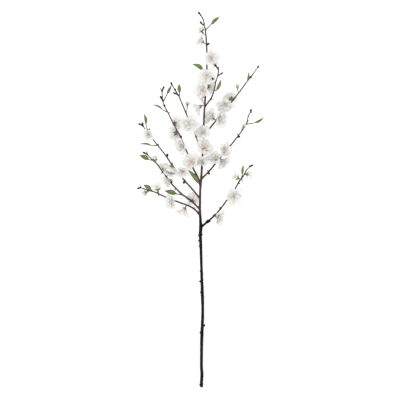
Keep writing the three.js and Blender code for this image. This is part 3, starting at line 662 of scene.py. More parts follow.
class Recipe:
    """A material's nodes, with short calls to add them and to join them."""

    def __init__(self, name: str) -> None:
        """Starts a material with its shader and output.

        Args:
            name: The material's name.
        """
        self.material = bpy.data.materials.new(name)
        self.material.use_nodes = True
        self.tree = self.material.node_tree
        self.shader = self.tree.nodes["Principled BSDF"]

    def add(self, kind: str, **settings: object) -> bpy.types.Node:
        """Adds a node and sets its own properties.

        Args:
            kind: The node's type.
            **settings: Values for its own properties.

        Returns:
            The node.
        """
        node = self.tree.nodes.new(kind)
        for key, value in settings.items():
            setattr(node, key, value)
        return node

    def feed(self, socket: Socket, source: object) -> None:
        """Joins a socket to another, or gives it a constant.

        Args:
            socket: The input.
            source: A socket or a constant.
        """
        if isinstance(source, Socket):
            self.tree.links.new(source, socket)
        else:
            socket.default_value = source

    def constant(self, name: str, value: object) -> None:
        """Sets one of the shader's own values."""
        self.shader.inputs[name].default_value = value

    def math(self, operation: str, first: object, second: object = 0.0) -> Socket:
        """Works out one number from two.

        Args:
            operation: The Math node's operation.
            first: A socket or a number.
            second: A socket or a number.

        Returns:
            The result's socket.
        """
        node = self.add("ShaderNodeMath", operation=operation)
        self.feed(node.inputs[0], first)
        self.feed(node.inputs[1], second)
        return node.outputs[0]

    def plus(self, first: object, second: object) -> Socket:
        """Adds two values."""
        return self.math("ADD", first, second)

    def minus(self, first: object, second: object) -> Socket:
        """Takes the second value from the first."""
        return self.math("SUBTRACT", first, second)

    def times(self, first: object, second: object) -> Socket:
        """Multiplies two values."""
        return self.math("MULTIPLY", first, second)

    def from_middle(self, value: object) -> Socket:
        """Gives how far a value between 0 and 1 is from 0.5, either way."""
        return self.math("ABSOLUTE", self.minus(value, 0.5))

    def range(self, value: object, low: float, high: float) -> Socket:
        """Stretches a value smoothly, from 0 at low to 1 at high.

        Args:
            value: A socket or a number.
            low: What becomes 0.
            high: What becomes 1.

        Returns:
            The stretched value's socket.
        """
        node = self.add("ShaderNodeMapRange", interpolation_type="SMOOTHSTEP")
        self.feed(node.inputs["Value"], value)
        node.inputs["From Min"].default_value = low
        node.inputs["From Max"].default_value = high
        return node.outputs["Result"]

    def mix(self, share: object, first: object, second: object) -> Socket:
        """Mixes two colours.

        Args:
            share: How much of the second colour there is.
            first: A socket or a colour.
            second: A socket or a colour.

        Returns:
            The mixed colour's socket.
        """
        node = self.add("ShaderNodeMix", data_type="RGBA")
        self.feed(node.inputs[0], share)
        for number, colour in ((6, first), (7, second)):
            opaque = colour if isinstance(colour, Socket) else (*colour, 1)
            self.feed(node.inputs[number], opaque)
        return node.outputs[2]

    def stretched(self, source: Socket, scale: Triple) -> Socket:
        """Scales coordinates, each way by its own amount.

        Args:
            source: The coordinates' socket.
            scale: What x, y and z are multiplied by.

        Returns:
            The scaled coordinates' socket.
        """
        node = self.add("ShaderNodeMapping")
        self.feed(node.inputs["Vector"], source)
        node.inputs["Scale"].default_value = scale
        return node.outputs["Vector"]

    def noise(self, source: Socket, scale: float = 1.0, detail: float = 3.0) -> Socket:
        """Gives noise between 0 and 1 over some coordinates.

        Args:
            source: The coordinates' socket.
            scale: How fine it is.
            detail: How many finer layers it has.

        Returns:
            The noise's socket.
        """
        node = self.add("ShaderNodeTexNoise")
        self.feed(node.inputs["Vector"], source)
        node.inputs["Scale"].default_value = scale
        node.inputs["Detail"].default_value = detail
        return node.outputs["Fac"]

    def object_place(self) -> Socket:
        """Gives the place on the object, in metres."""
        return self.add("ShaderNodeTexCoord").outputs["Object"]

    def sheet_place(self) -> Socket:
        """Gives the place on the piece's own sheet, across and along it."""
        return self.add("ShaderNodeUVMap").outputs["UV"]

    def parts(self, source: Socket) -> Sequence[Socket]:
        """Splits coordinates in three numbers.

        Args:
            source: The coordinates' socket.

        Returns:
            The sockets of x, y and z.
        """
        node = self.add("ShaderNodeSeparateXYZ")
        self.feed(node.inputs[0], source)
        return node.outputs

    def let_light_in(self, share: float, depth: Triple) -> None:
        """Lets light scatter under the surface, to a depth in metres for red, green and blue.

        Args:
            share: How much of the light goes in.
            depth: How deep red, green and blue go, in metres.
        """
        self.constant("Subsurface Weight", share)
        self.constant("Subsurface Radius", depth)
        self.constant("Subsurface Scale", 1.0)

    def finish(
        self, colour: object, roughness: object, height: object = None, relief: float = 0.0002
    ) -> Material:
        """Joins the colour, the roughness and the relief to the shader.

        Args:
            colour: The base colour's socket.
            roughness: A socket or a number.
            height: The relief's height between 0 and 1, or nothing.
            relief: How deep the relief is, in metres.

        Returns:
            The material.
        """
        self.feed(self.shader.inputs["Base Color"], colour)
        self.feed(self.shader.inputs["Roughness"], roughness)
        if height is not None:
            bump = self.add("ShaderNodeBump")
            bump.inputs["Distance"].default_value = relief
            self.feed(bump.inputs["Height"], height)
            self.feed(self.shader.inputs["Normal"], bump.outputs["Normal"])
        return self.material


@dataclass(frozen=True)
class BarkFinish:
    """Young cherry bark: near-black low on the stem and reddish brown above, with pale lenticels."""

    black: Colour = (0.007, 0.0063, 0.0075)
    brown: Colour = (0.082, 0.042, 0.042)
    bloom: Colour = (0.160, 0.110, 0.112)
    lenticel: Colour = (0.170, 0.115, 0.095)
    black_below: float = -0.048
    brown_above: float = -0.024
    border_patch: float = 60.0
    border_wander: float = 0.05
    streak_stretch: Triple = (60.0, 700.0, 700.0)
    streak_share: float = 0.55
    streak_on_black: float = 0.12
    lenticel_stretch: Triple = (1100.0, 260.0, 260.0)
    lenticel_share: float = 0.6
    lenticel_height: float = 0.7
    wrinkle_stretch: Triple = (900.0, 300.0, 300.0)
    gloss: float = 0.08

    def material(self) -> Material:
        """Builds the material. It reads the grain attribute, whose x runs along the limb.

        Returns:
            The material.
        """
        recipe = Recipe("bark")
        grain = recipe.add("ShaderNodeAttribute", attribute_name="grain").outputs["Vector"]
        height = recipe.parts(recipe.object_place())[1]
        patch = recipe.noise(recipe.object_place(), self.border_patch)
        level = recipe.plus(height, recipe.times(recipe.minus(patch, 0.5), self.border_wander))
        colour = recipe.mix(recipe.range(level, self.black_below, self.brown_above), self.black, self.brown)
        streak = recipe.noise(recipe.stretched(grain, self.streak_stretch), detail=4.0)
        upper = recipe.range(height, self.black_below, self.brown_above)
        greyed = recipe.times(recipe.range(streak, 0.50, 0.72), recipe.plus(upper, self.streak_on_black))
        colour = recipe.mix(recipe.times(greyed, self.streak_share), colour, self.bloom)
        dash = recipe.noise(recipe.stretched(grain, self.lenticel_stretch), detail=1.0)
        spots = recipe.range(dash, 0.66, 0.72)
        colour = recipe.mix(recipe.times(spots, self.lenticel_share), colour, self.lenticel)
        wrinkle = recipe.noise(recipe.stretched(grain, self.wrinkle_stretch), detail=5.0)
        relief = recipe.plus(wrinkle, recipe.times(spots, self.lenticel_height))
        recipe.constant("Specular IOR Level", self.gloss)
        roughness = recipe.plus(recipe.times(streak, 0.3), 0.45)
        return recipe.finish(colour, roughness, relief, 0.0003)


@dataclass(frozen=True)
class HeartwoodFinish:
    """The pale wood of the cut end, in rings about its pith."""

    pale: Colour = (0.52, 0.36, 0.21)
    ring: Colour = (0.30, 0.17, 0.09)
    pith: Colour = (0.16, 0.08, 0.04)
    ring_width: float = 0.00065
    ring_waver: float = 0.0004
    ring_share: float = 0.6
    pith_radius: float = 0.0005

    def material(self, middle: Vector) -> Material:
        """Builds the material about the middle of the cut.

        Args:
            middle: The middle of the cut, in metres.

        Returns:
            The material.
        """
        recipe = Recipe("cut_wood")
        mapping = recipe.add("ShaderNodeMapping")
        recipe.feed(mapping.inputs["Vector"], recipe.object_place())
        mapping.inputs["Location"].default_value = -middle
        length = recipe.add("ShaderNodeVectorMath", operation="LENGTH")
        recipe.feed(length.inputs[0], mapping.outputs["Vector"])
        out = length.outputs["Value"]
        waver = recipe.noise(recipe.object_place(), 900.0)
        wavy = recipe.plus(out, recipe.times(waver, self.ring_waver))
        band = recipe.range(recipe.math("FRACT", recipe.math("DIVIDE", wavy, self.ring_width)), 0.55, 0.95)
        colour = recipe.mix(recipe.times(band, self.ring_share), self.pale, self.ring)
        colour = recipe.mix(recipe.range(out, self.pith_radius, 0.4 * self.pith_radius), colour, self.pith)
        return recipe.finish(colour, 0.75, waver, 0.0001)


@dataclass(frozen=True)
class BudScaleFinish:
    """The dark scales of a winter bud, dry and paler at their rims."""

    dark: Colour = (0.012, 0.008, 0.008)
    rim: Colour = (0.050, 0.028, 0.024)
    rim_share: float = 0.8
    gloss: float = 0.15

    def material(self) -> Material:
        """Builds the material.

        Returns:
            The material.
        """
        recipe = Recipe("bud_scale")
        place = recipe.object_place()
        patch = recipe.range(recipe.noise(place, 500.0), 0.50, 0.75)
        recipe.constant("Specular IOR Level", self.gloss)
        colour = recipe.mix(recipe.times(patch, self.rim_share), self.dark, self.rim)
        return recipe.finish(colour, 0.55, recipe.noise(place, 2500.0))


# The colour at the foot of the petals, and that of the filaments over it
THROAT_COLOURS = {
    Throat.PLAIN: (0.84, 0.84, 0.72),
    Throat.BEIGE: (0.92, 0.80, 0.64),
    Throat.PEACH: (0.95, 0.72, 0.57),
    Throat.ROSE: (0.93, 0.74, 0.68),
}
FILAMENT_COLOURS = {
    Throat.PLAIN: (0.72, 0.70, 0.50),
    Throat.BEIGE: (0.66, 0.54, 0.40),
    Throat.PEACH: (0.74, 0.46, 0.30),
    Throat.ROSE: (0.66, 0.42, 0.38),
}


@dataclass(frozen=True)
class PetalFinish:
    """A thin white petal with fine veins, a faint grey-green shade and a tinted throat; its greyer rim is
    partly the thin edge's own tone and partly painted shade that outlines each petal.
    """

    throat: Throat
    name: str = "petal"
    white: Colour = (0.90, 0.89, 0.865)
    shade: Colour = (0.84, 0.84, 0.79)
    vein: Colour = (0.77, 0.74, 0.685)
    # The rim colour: partly the thin edge's own greyer tone, partly painted shade that outlines each petal
    rim: Colour = (0.58, 0.58, 0.55)
    vein_stretch: Triple = (26.0, 2.2, 1.0)
    vein_share: float = 0.35
    rim_tone_and_shade_from: float = 0.72
    rim_share: float = 0.55
    throat_full: float = 0.12
    throat_end: float = 0.64
    throat_wander: float = 0.35
    light_depth: Triple = (0.0030, 0.0026, 0.0022)

    def material(self) -> Material:
        """Builds the material. Across the petal's own sheet is x, and along it is y.

        Returns:
            The material.
        """
        recipe = Recipe(f"{self.name}_{self.throat.value}")
        place = recipe.sheet_place()
        across, along, _ = recipe.parts(place)
        patch = recipe.noise(recipe.object_place(), 140.0)
        colour = recipe.mix(recipe.range(patch, 0.42, 0.70), self.white, self.shade)
        lines = recipe.noise(recipe.stretched(place, self.vein_stretch), detail=4.0)
        veins = recipe.times(recipe.range(lines, 0.55, 0.70), self.vein_share)
        colour = recipe.mix(veins, colour, self.vein)
        # Greyer towards the sides and the tip: partly the edge's own tone, partly painted shade that outlines
        # each petal
        side = recipe.times(recipe.from_middle(across), 2.0)
        rim = recipe.range(recipe.math("MAXIMUM", side, along), self.rim_tone_and_shade_from, 1.0)
        colour = recipe.mix(recipe.times(rim, self.rim_share), colour, self.rim)
        reach = recipe.plus(along, recipe.times(recipe.minus(lines, 0.5), self.throat_wander))
        tinted = recipe.range(reach, self.throat_end, self.throat_full)
        colour = recipe.mix(tinted, colour, THROAT_COLOURS[self.throat])
        recipe.let_light_in(0.5, self.light_depth)
        recipe.constant("Sheen Weight", 0.15)
        return recipe.finish(colour, 0.62, lines, 0.0003)


@dataclass(frozen=True)
class StamenFinish:
    """Pale filaments, or ochre anthers full of pollen."""

    name: str
    colour: Colour
    fleck: Colour

    def material(self) -> Material:
        """Builds the material.

        Returns:
            The material.
        """
        recipe = Recipe(self.name)
        grains = recipe.noise(recipe.object_place(), 2600.0, 2.0)
        colour = recipe.mix(recipe.range(grains, 0.40, 0.65), self.colour, self.fleck)
        return recipe.finish(colour, 0.8, grains)


@dataclass(frozen=True)
class CalyxFinish:
    """The olive skin of calyx, sepals and stalks, flushed reddish brown."""

    name: str
    olive: Colour = (0.230, 0.245, 0.075)
    dark: Colour = (0.085, 0.090, 0.028)
    flush: Colour = (0.150, 0.075, 0.045)
    flushed: float = 0.45
    blush_stretch: Triple = (1.0, 1.0, 0.6)

    def material(self) -> Material:
        """Builds the material.

        Returns:
            The material.
        """
        recipe = Recipe(self.name)
        place = recipe.object_place()
        patch = recipe.range(recipe.noise(place, 260.0), 0.35, 0.65)
        colour = recipe.mix(patch, self.olive, self.dark)
        blush = recipe.range(recipe.noise(recipe.stretched(place, self.blush_stretch), 120.0), 0.40, 0.60)
        colour = recipe.mix(recipe.times(blush, self.flushed), colour, self.flush)
        return recipe.finish(colour, 0.5, recipe.noise(place, 1800.0))


@dataclass(frozen=True)
class LeafFinish:
    """A young leaf: mid green with a paler midrib and side veins, and darker at the teeth."""

    green: Colour = (0.100, 0.148, 0.032)
    light: Colour = (0.235, 0.285, 0.098)
    edge: Colour = (0.026, 0.042, 0.010)
    veins: float = 9.0
    vein_slant: float = 0.16
    vein_share: float = 0.5
    edge_from: float = 0.62
    light_depth: Triple = (0.0006, 0.0012, 0.0003)

    def material(self) -> Material:
        """Builds the material. Across the leaf's own sheet is x, and along it is y.

        Returns:
            The material.
        """
        recipe = Recipe("leaf")
        across, along, _ = recipe.parts(recipe.sheet_place())
        off = recipe.times(recipe.from_middle(across), 2.0)
        patch = recipe.range(recipe.noise(recipe.object_place(), 220.0), 0.35, 0.70)
        colour = recipe.mix(patch, self.green, self.light)
        slant = recipe.minus(along, recipe.times(off, self.vein_slant))
        wave = recipe.math("FRACT", recipe.times(slant, self.veins))
        vein = recipe.minus(1.0, recipe.range(recipe.from_middle(wave), 0.03, 0.12))
        rib = recipe.range(off, 0.14, 0.03)
        lines = recipe.math("MAXIMUM", recipe.times(vein, self.vein_share), rib)
        colour = recipe.mix(recipe.times(lines, 0.6), colour, self.light)
        colour = recipe.mix(recipe.range(off, self.edge_from, 1.0), colour, self.edge)
        recipe.let_light_in(0.08, self.light_depth)
        return recipe.finish(colour, 0.42, recipe.minus(1.0, lines), 0.0004)


@dataclass(frozen=True)
class PaperFinish:
    """The matt pale paper that the sprig lies on."""

    tint: Colour = (0.70, 0.70, 0.70)
    fleck: Colour = (0.68, 0.68, 0.68)
    glow: float = 0.50

    def material(self) -> Material:
        """Builds the material.

        Returns:
            The material.
        """
        recipe = Recipe("paper")
        tooth = recipe.noise(recipe.object_place(), 300.0)
        recipe.constant("Emission Color", (1, 1, 1, 1))
        recipe.constant("Emission Strength", self.glow)
        return recipe.finish(recipe.mix(tooth, self.tint, self.fleck), 0.95)


class Finishes:
    """All the materials of the sprig, each made once."""

    def __init__(self) -> None:
        """Makes the materials."""
        self.bark = BarkFinish().material()
        self.bud_scale = BudScaleFinish().material()
        self.petals = {throat: PetalFinish(throat).material() for throat in Throat}
        # The closed bud's petals, greener; their rim colour is partly the edge's own tone, partly painted
        # shade
        self.closed_petal = PetalFinish(
            Throat.PLAIN, "closed_petal", white=(0.66, 0.68, 0.56), shade=(0.52, 0.56, 0.40),
            vein=(0.46, 0.50, 0.34), rim=(0.60, 0.62, 0.50),
        ).material()
        self.calyx = CalyxFinish("calyx").material()
        self.green_calyx = CalyxFinish(
            "green_calyx", olive=(0.300, 0.370, 0.085), dark=(0.150, 0.195, 0.045), flushed=0.15
        ).material()
        self.stalk = CalyxFinish(
            "leaf_stalk", olive=(0.040, 0.042, 0.018), dark=(0.020, 0.020, 0.012), flushed=0.4
        ).material()
        self.leaf = LeafFinish().material()
        self.filaments = {
            throat: StamenFinish(f"filament_{throat.value}", colour, (0.80, 0.74, 0.64)).material()
            for throat, colour in FILAMENT_COLOURS.items()
        }
        self.anther = StamenFinish("anther", (0.74, 0.54, 0.32), (0.84, 0.69, 0.46)).material()


# Masters: each repeated shape is modelled once


@dataclass(frozen=True)
class BladePattern:
    """A petal or a sepal as long as one unit, lying along y with its upper side up.

    Widths are half-widths, and all sizes are shares of the length.
    """

    name: str
    columns: int = 6
    rows: int = 8
    foot: float = 0.08
    breadth: float = 0.35
    widest: float = 0.68
    swelling: float = 1.3
    tip: float = 0.24
    notch: float = 0.09
    notch_narrowness: float = 2.2
    corner: float = 0.07
    second_row: float = 0.55
    cupping: float = math.radians(16)
    hollow: float = 0.06
    crumple: float = 0.13
    crumple_size: float = 0.30
    loose_from: float = 0.1
    loosening: float = 1.3
    take_number: int = 0
    first_height: float = 1.7
    take_height: float = 7.3
    thickness: float = 0.018

    def half_width(self, along: float) -> float:
        """Gives the half-width at a share of the length.

        Args:
            along: The share, from 0 at the foot to 1 at the tip.

        Returns:
            The half-width there.
        """
        if along <= self.widest:
            rise = math.sin(math.pi / 2 * along / self.widest) ** self.swelling
            return self.foot + (self.breadth - self.foot) * rise
        fall = math.cos(math.pi / 2 * (along - self.widest) / (1 - self.widest))
        return self.tip + (self.breadth - self.tip) * fall

    def model(self) -> Piece:
        """Models the blade from a grid: hollowed, cut to its outline, cupped, notched and crumpled.

        Returns:
            The master, to be copied and then thrown away.
        """
        blade = sheet(self.name, self.columns, self.rows)
        with editing(blade):
            for column in range(self.columns + 1):
                side = 2 * column / self.columns - 1
                pick(blade, column_of(column, self.columns, self.rows))
                shift(0, 0, self.hollow * (2 * side * side - 1))
            for row in range(self.rows + 1):
                along = row / self.rows
                width = self.half_width(along)
                pick(blade, row_of(row, self.columns))
                scale_about((0, along, 0), 2 * width, 1, width / self.breadth * min(1, 2 * along))
                shift(0, 0, along * math.sin(self.cupping * (1 - along)))
            for column in range(self.columns + 1):
                side = abs(2 * column / self.columns - 1)
                drop = self.notch * max(0.0, 1 - self.notch_narrowness * side) + self.corner * side**3
                for row, share in ((self.rows, 1.0), (self.rows - 1, self.second_row)):
                    pick(blade, [row * (self.columns + 1) + column])
                    shift(0, -drop * share, 0)
        self._crumple(blade)
        thicken(blade, self.thickness)
        round_off(blade)
        return blade

    def _crumple(self, blade: Piece) -> None:
        """Crumples the blade, more towards its tip, at a place in the noise that is its own.

        Args:
            blade: The blade, which is still one sheet.
        """
        loose = blade.vertex_groups.new(name="loose")
        for point in blade.data.vertices:
            share = min(1.0, max(0.0, self.loosening * point.co.y - self.loose_from))
            loose.add([point.index], share, "REPLACE")
        blade.location.z = self.take_height * self.take_number + self.first_height
        modify(
            blade,
            "DISPLACE",
            texture=clouds(self.name, self.crumple_size, coloured=True),
            texture_coords="GLOBAL",
            direction="RGB_TO_XYZ",
            space="LOCAL",
            strength=self.crumple,
            mid_level=0.5,
            vertex_group="loose",
        )
        blade.location.z = 0
        blade.vertex_groups.clear()


@dataclass(frozen=True)
class StamenPattern:
    """A filament one unit high with its anther, standing on z."""

    radius: float = 0.020
    taper: Triple = (1.3, 1.0, 0.8)
    bow: float = 0.06
    anther_radius: float = 0.070
    anther_height: float = 1.02
    anther_shape: Triple = (1.0, 0.75, 1.3)

    def model(self) -> Piece:
        """Models the stamen, whose second material slot is the anther's.

        Returns:
            The master, to be copied and then thrown away.
        """
        places = (Vector((0, 0, 0)), Vector((self.bow, 0, 0.5)), Vector((0, 0, 1)))
        stations = [(place, self.radius * share) for place, share in zip(places, self.taper)]
        filament = tube("filament", stations, rounding=0, steps=2)
        clear_selection()
        middle = (0, 0, self.anther_height)
        bpy.ops.mesh.primitive_ico_sphere_add(subdivisions=1, radius=self.anther_radius, location=middle)
        anther = settled("anther")
        with editing(anther):
            bpy.ops.mesh.select_all(action="SELECT")
            scale_about(middle, *self.anther_shape)
        smooth(anther)
        for part, name in ((filament, "filament_slot"), (anther, "anther_slot")):
            part.data.materials.clear()
            part.data.materials.append(bpy.data.materials.new(name))
        return join("stamen_master", [filament, anther])


@dataclass(frozen=True)
class CupPattern:
    """The urn-shaped cup under a flower, in millimetres, with the flower's middle at the origin."""

    rings: tuple[Pair, ...] = (
        (-CALYX_LENGTH, CALYX_FOOT_RADIUS), (-5.2, 1.75), (-3.6, 2.15), (-1.9, 2.2), (-0.4, 2.7), (0.3, 2.3),
    )
    sides: int = 10

    def model(self) -> Piece:
        """Models the cup ring by ring, and rounds it.

        Returns:
            The master, to be copied and then thrown away.
        """
        cup = ringed("cup_master", [(height * MM, radius * MM) for height, radius in self.rings], self.sides)
        round_off(cup)
        return cup


@dataclass(frozen=True)
class WinterBudPattern:
    """A winter bud one unit high and one unit in radius, in overlapping tiers of scales."""

    tiers: tuple[Pair, ...] = (
        (0.00, 0.60), (0.08, 0.95), (0.26, 1.15), (0.29, 1.00), (0.48, 1.15), (0.51, 1.00),
        (0.72, 1.00), (0.75, 0.82), (0.91, 0.56), (1.00, 0.16),
    )
    sides: int = 8
    sways: Pair = (-0.06, 0.12)
    twist: float = math.radians(50)

    def model(self) -> Piece:
        """Models the bud tier by tier, twists it and rounds it.

        Returns:
            The master, to be copied and then thrown away.
        """
        bud = ringed("winter_bud_master", self.tiers, self.sides, self.sways)
        modify(bud, "SIMPLE_DEFORM", deform_method="TWIST", deform_axis="Z", angle=self.twist)
        round_off(bud)
        return bud


@dataclass(frozen=True)
class WhiteBudPattern:
    """A closed white bud one unit high and half a unit in radius, with its petals wound in a spiral."""

    segments: int = 15
    rings: int = 10
    furrows: int = 3
    furrow: float = 0.80
    furrow_from: float = 0.15
    furrow_sharpness: float = 0.98
    narrowings: tuple[Pair, ...] = ((0.62, 0.94), (0.78, 0.90), (0.90, 0.85))
    twist: float = math.radians(110)

    def model(self) -> Piece:
        """Models the bud from a ball: furrowed between its petals, drawn in to a blunt tip, twisted.

        Returns:
            The master, to be copied and then thrown away.
        """
        clear_selection()
        middle = (0, 0, 0.5)
        bpy.ops.mesh.primitive_uv_sphere_add(
            segments=self.segments, ring_count=self.rings, radius=0.5, location=middle
        )
        bud = settled("white_bud_master")
        places = [point.co.copy() for point in bud.data.vertices]
        with editing(bud):
            for furrow in range(self.furrows):
                turn = 2 * math.pi * furrow / self.furrows
                pick(bud, (number for number, at in enumerate(places) if self._in_furrow(at, turn)))
                scale_about(middle, self.furrow, self.furrow, 1)
            for low, width in self.narrowings:
                pick(bud, (number for number, at in enumerate(places) if at.z > low))
                scale_about(middle, width, width, 1)
        modify(bud, "SIMPLE_DEFORM", deform_method="TWIST", deform_axis="Z", angle=self.twist)
        round_off(bud)
        return bud

    def _in_furrow(self, at: Vector, turn: float) -> bool:
        """Tells whether a place is in the furrow that runs down at a turn."""
        return math.cos(math.atan2(at.y, at.x) - turn) > self.furrow_sharpness and at.z > self.furrow_from


@dataclass(frozen=True)
class LeafPattern:
    """A toothed leaf blade one unit long and one unit wide, folded up a little about its midrib."""

    columns: int = 6
    rows: int = 24
    fold: float = 0.35
    outline: float = 0.8
    narrowest: float = 0.05
    tooth: float = 0.13
    tooth_reach: float = 0.5
    groove: float = 0.03

    def model(self) -> Piece:
        """Models the blade from a grid, row by row, as one sheet without thickness.

        Returns:
            The master, to be copied and then thrown away.
        """
        blade = sheet("leaf_master", self.columns, self.rows)
        with editing(blade):
            for column in range(self.columns + 1):
                side = column / self.columns - 0.5
                pick(blade, column_of(column, self.columns, self.rows))
                groove = self.groove if column == self.columns // 2 else 0
                shift(0, 0, abs(side) * self.fold - groove)
            for row in range(self.rows + 1):
                along = row / self.rows
                width = max(self.narrowest, math.sin(math.pi * along**self.outline))
                points = row_of(row, self.columns)
                pick(blade, points)
                scale_about((0, along, 0), width, 1, width)
                pick(blade, (points[0], points[-1]))
                if row % 2:
                    shift(0, self.tooth_reach / self.rows, 0)
                else:
                    scale_about((0, along, 0), 1 - self.tooth, 1, 1)
        smooth(blade)
        return blade


def takes(pattern: BladePattern, first: int) -> list[Piece]:
    """Models a petal a few times, each time crumpled in its own way.

    Args:
        pattern: The petal.
        first: The number of the first take.

    Returns:
        The masters to choose from.
    """
    return [
        replace(pattern, name=f"{pattern.name}_{number}", take_number=first + number).model()
        for number in range(TAKES)
    ]


class Masters:
    """The shapes that repeat, which are copied and then thrown away."""

    def __init__(self) -> None:
        """Models every master."""
        outer = BladePattern("outer_petal")
        middle = BladePattern(
            "middle_petal", breadth=0.30, tip=0.16, notch=0.14, crumple=0.17, crumple_size=0.24,
            cupping=math.radians(22),
        )
        inner = BladePattern(
            "inner_petal", columns=4, rows=6, breadth=0.32, tip=0.12, notch=0.05, crumple=0.22,
            cupping=math.radians(8), hollow=0.10, thickness=0.026,
        )
        self.outer, self.middle, self.inner = (
            takes(pattern, number * TAKES) for number, pattern in enumerate((outer, middle, inner))
        )
        self.sepal = BladePattern(
            "sepal", columns=2, rows=5, foot=0.20, breadth=0.24, widest=0.30, tip=0.02, notch=0,
            corner=0, crumple=0.05, cupping=math.radians(-14), thickness=0.07,
        ).model()
        self.stamen = StamenPattern().model()
        self.cup = CupPattern().model()
        self.winter_bud = WinterBudPattern().model()
        self.white_bud = WhiteBudPattern().model()
        self.leaf = LeafPattern().model()

    def discard(self) -> None:
        """Removes the masters once everything is copied from them."""
        singles = [self.sepal, self.stamen, self.cup, self.winter_bud, self.white_bud, self.leaf]
        for master in [*self.outer, *self.middle, *self.inner, *singles]:
            bpy.data.objects.remove(master, do_unlink=True)


# Sub-assemblies


@dataclass
class Limb:
    """The stem or a twig, as places and radii in metres."""

    name: str
    stations: list[tuple[Vector, float]]

    @classmethod
    def named(cls, name: str) -> "Limb":
        """Makes the limb from its rows."""
        return cls(name, [(Vector(row[:3]) * MM, row[3] * MM) for row in LIMBS[name]])

    def point(self, share: float) -> Vector:
        """Gives the place at a share of the limb's length.

        Args:
            share: The share, from 0 at the root to 1 at the tip.

        Returns:
            The place, in metres.
        """
        places = [place for place, _ in self.stations]
        spans = [(after - before).length for before, after in zip(places, places[1:])]
        left = share * sum(spans)
        for before, after, span in zip(places, places[1:], spans):
            if left <= span:
                return before.lerp(after, left / span)
            left -= span
        return places[-1]


@dataclass(frozen=True)
class Facing:
    """Where a flower is and where it faces: its middle, its axis and two directions across it."""

    middle: Vector
    axis: Vector
    right: Vector
    front: Vector

    @classmethod
    def towards(cls, middle: Vector, compass: float, height: float) -> "Facing":
        """Makes the frame from a compass direction and a height in degrees.

        Args:
            middle: Where the flower is, in metres.
            compass: The direction that it faces, from +X towards +Y.
            height: How far up it faces.

        Returns:
            The frame.
        """
        east, lift = math.radians(compass), math.radians(height)
        axis = Vector((math.cos(lift) * math.cos(east), math.cos(lift) * math.sin(east), math.sin(lift)))
        right = UP.cross(axis).normalized()
        return cls(middle, axis, right, axis.cross(right))

    def along(self, distance: float) -> Vector:
        """Gives the place at a distance along the axis, in metres."""
        return self.middle + self.axis * distance

    def across(self, turn: float) -> Vector:
        """Gives the direction across the axis at a turn in radians."""
        return self.right * math.cos(turn) + self.front * math.sin(turn)

    def upright(self, turn: float = 0.0, scale: float = 1.0) -> Matrix:
        """Places a master that stands on z, turned about the axis.

        Args:
            turn: How far it is turned, in radians.
            scale: Its size against the master's.

        Returns:
            The matrix that places the master.
        """
        faced = Matrix((self.right, self.front, self.axis)).transposed().to_4x4()
        placed = Matrix.Translation(self.middle) @ faced
        return placed @ Matrix.Rotation(turn, 4, "Z") @ Matrix.Scale(scale, 4)

    def blade(
        self, turn: float, lean: float, length: float, width: float, lift: float, roll: float = 0.0
    ) -> Matrix:
        """Places a petal or a sepal.

        Args:
            turn: The direction round the flower, in radians.
            lean: How far it leans out from the axis, in radians.
            length: Its length in metres.
            width: How wide it is, against its usual width.
            lift: How far along the axis it starts, in metres.
            roll: How far it is rolled about its own length, in radians.

        Returns:
            The matrix that places the master.
        """
        radial = self.across(turn)
        along = radial * math.sin(lean) + self.axis * math.cos(lean)
        normal = self.axis * math.sin(lean) - radial * math.cos(lean)
        turned = Matrix((along.cross(normal), along, normal)).transposed().to_4x4()
        size = Matrix.Diagonal((length * width, length, length, 1))
        return Matrix.Translation(self.along(lift)) @ turned @ Matrix.Rotation(roll, 4, "Y") @ size


@dataclass(frozen=True)
class Whorl:
    """Five petals round a flower, against the flower's own turn and reach.

    The turn is in steps from one petal to the next, the lift is how far along the axis they start, and the
    rest is how much one petal may differ from the next.
    """

    seed_step: float = 0.0
    turn: float = 0.0
    reach: float = 1.0
    lift: float = 0.0
    uneven_turn: float = 0.07
    uneven_lean: float = 0.1
    uneven_length: float = 0.10
    uneven_width: float = 0.12
    uneven_roll: float = 0.22


OUTER_WHORL = Whorl(reach=1.21)
MIDDLE_WHORL = Whorl(seed_step=0.25, turn=0.45, lift=0.8 * MM, uneven_lean=0.14)
INNER_WHORL = Whorl(seed_step=0.5, turn=0.5, reach=0.72, lift=1.6 * MM, uneven_lean=0.08)
HALF_OPEN_WHORL = Whorl(seed_step=0.5, turn=0.5, reach=0.72, lift=0.8 * MM, uneven_lean=0.05)


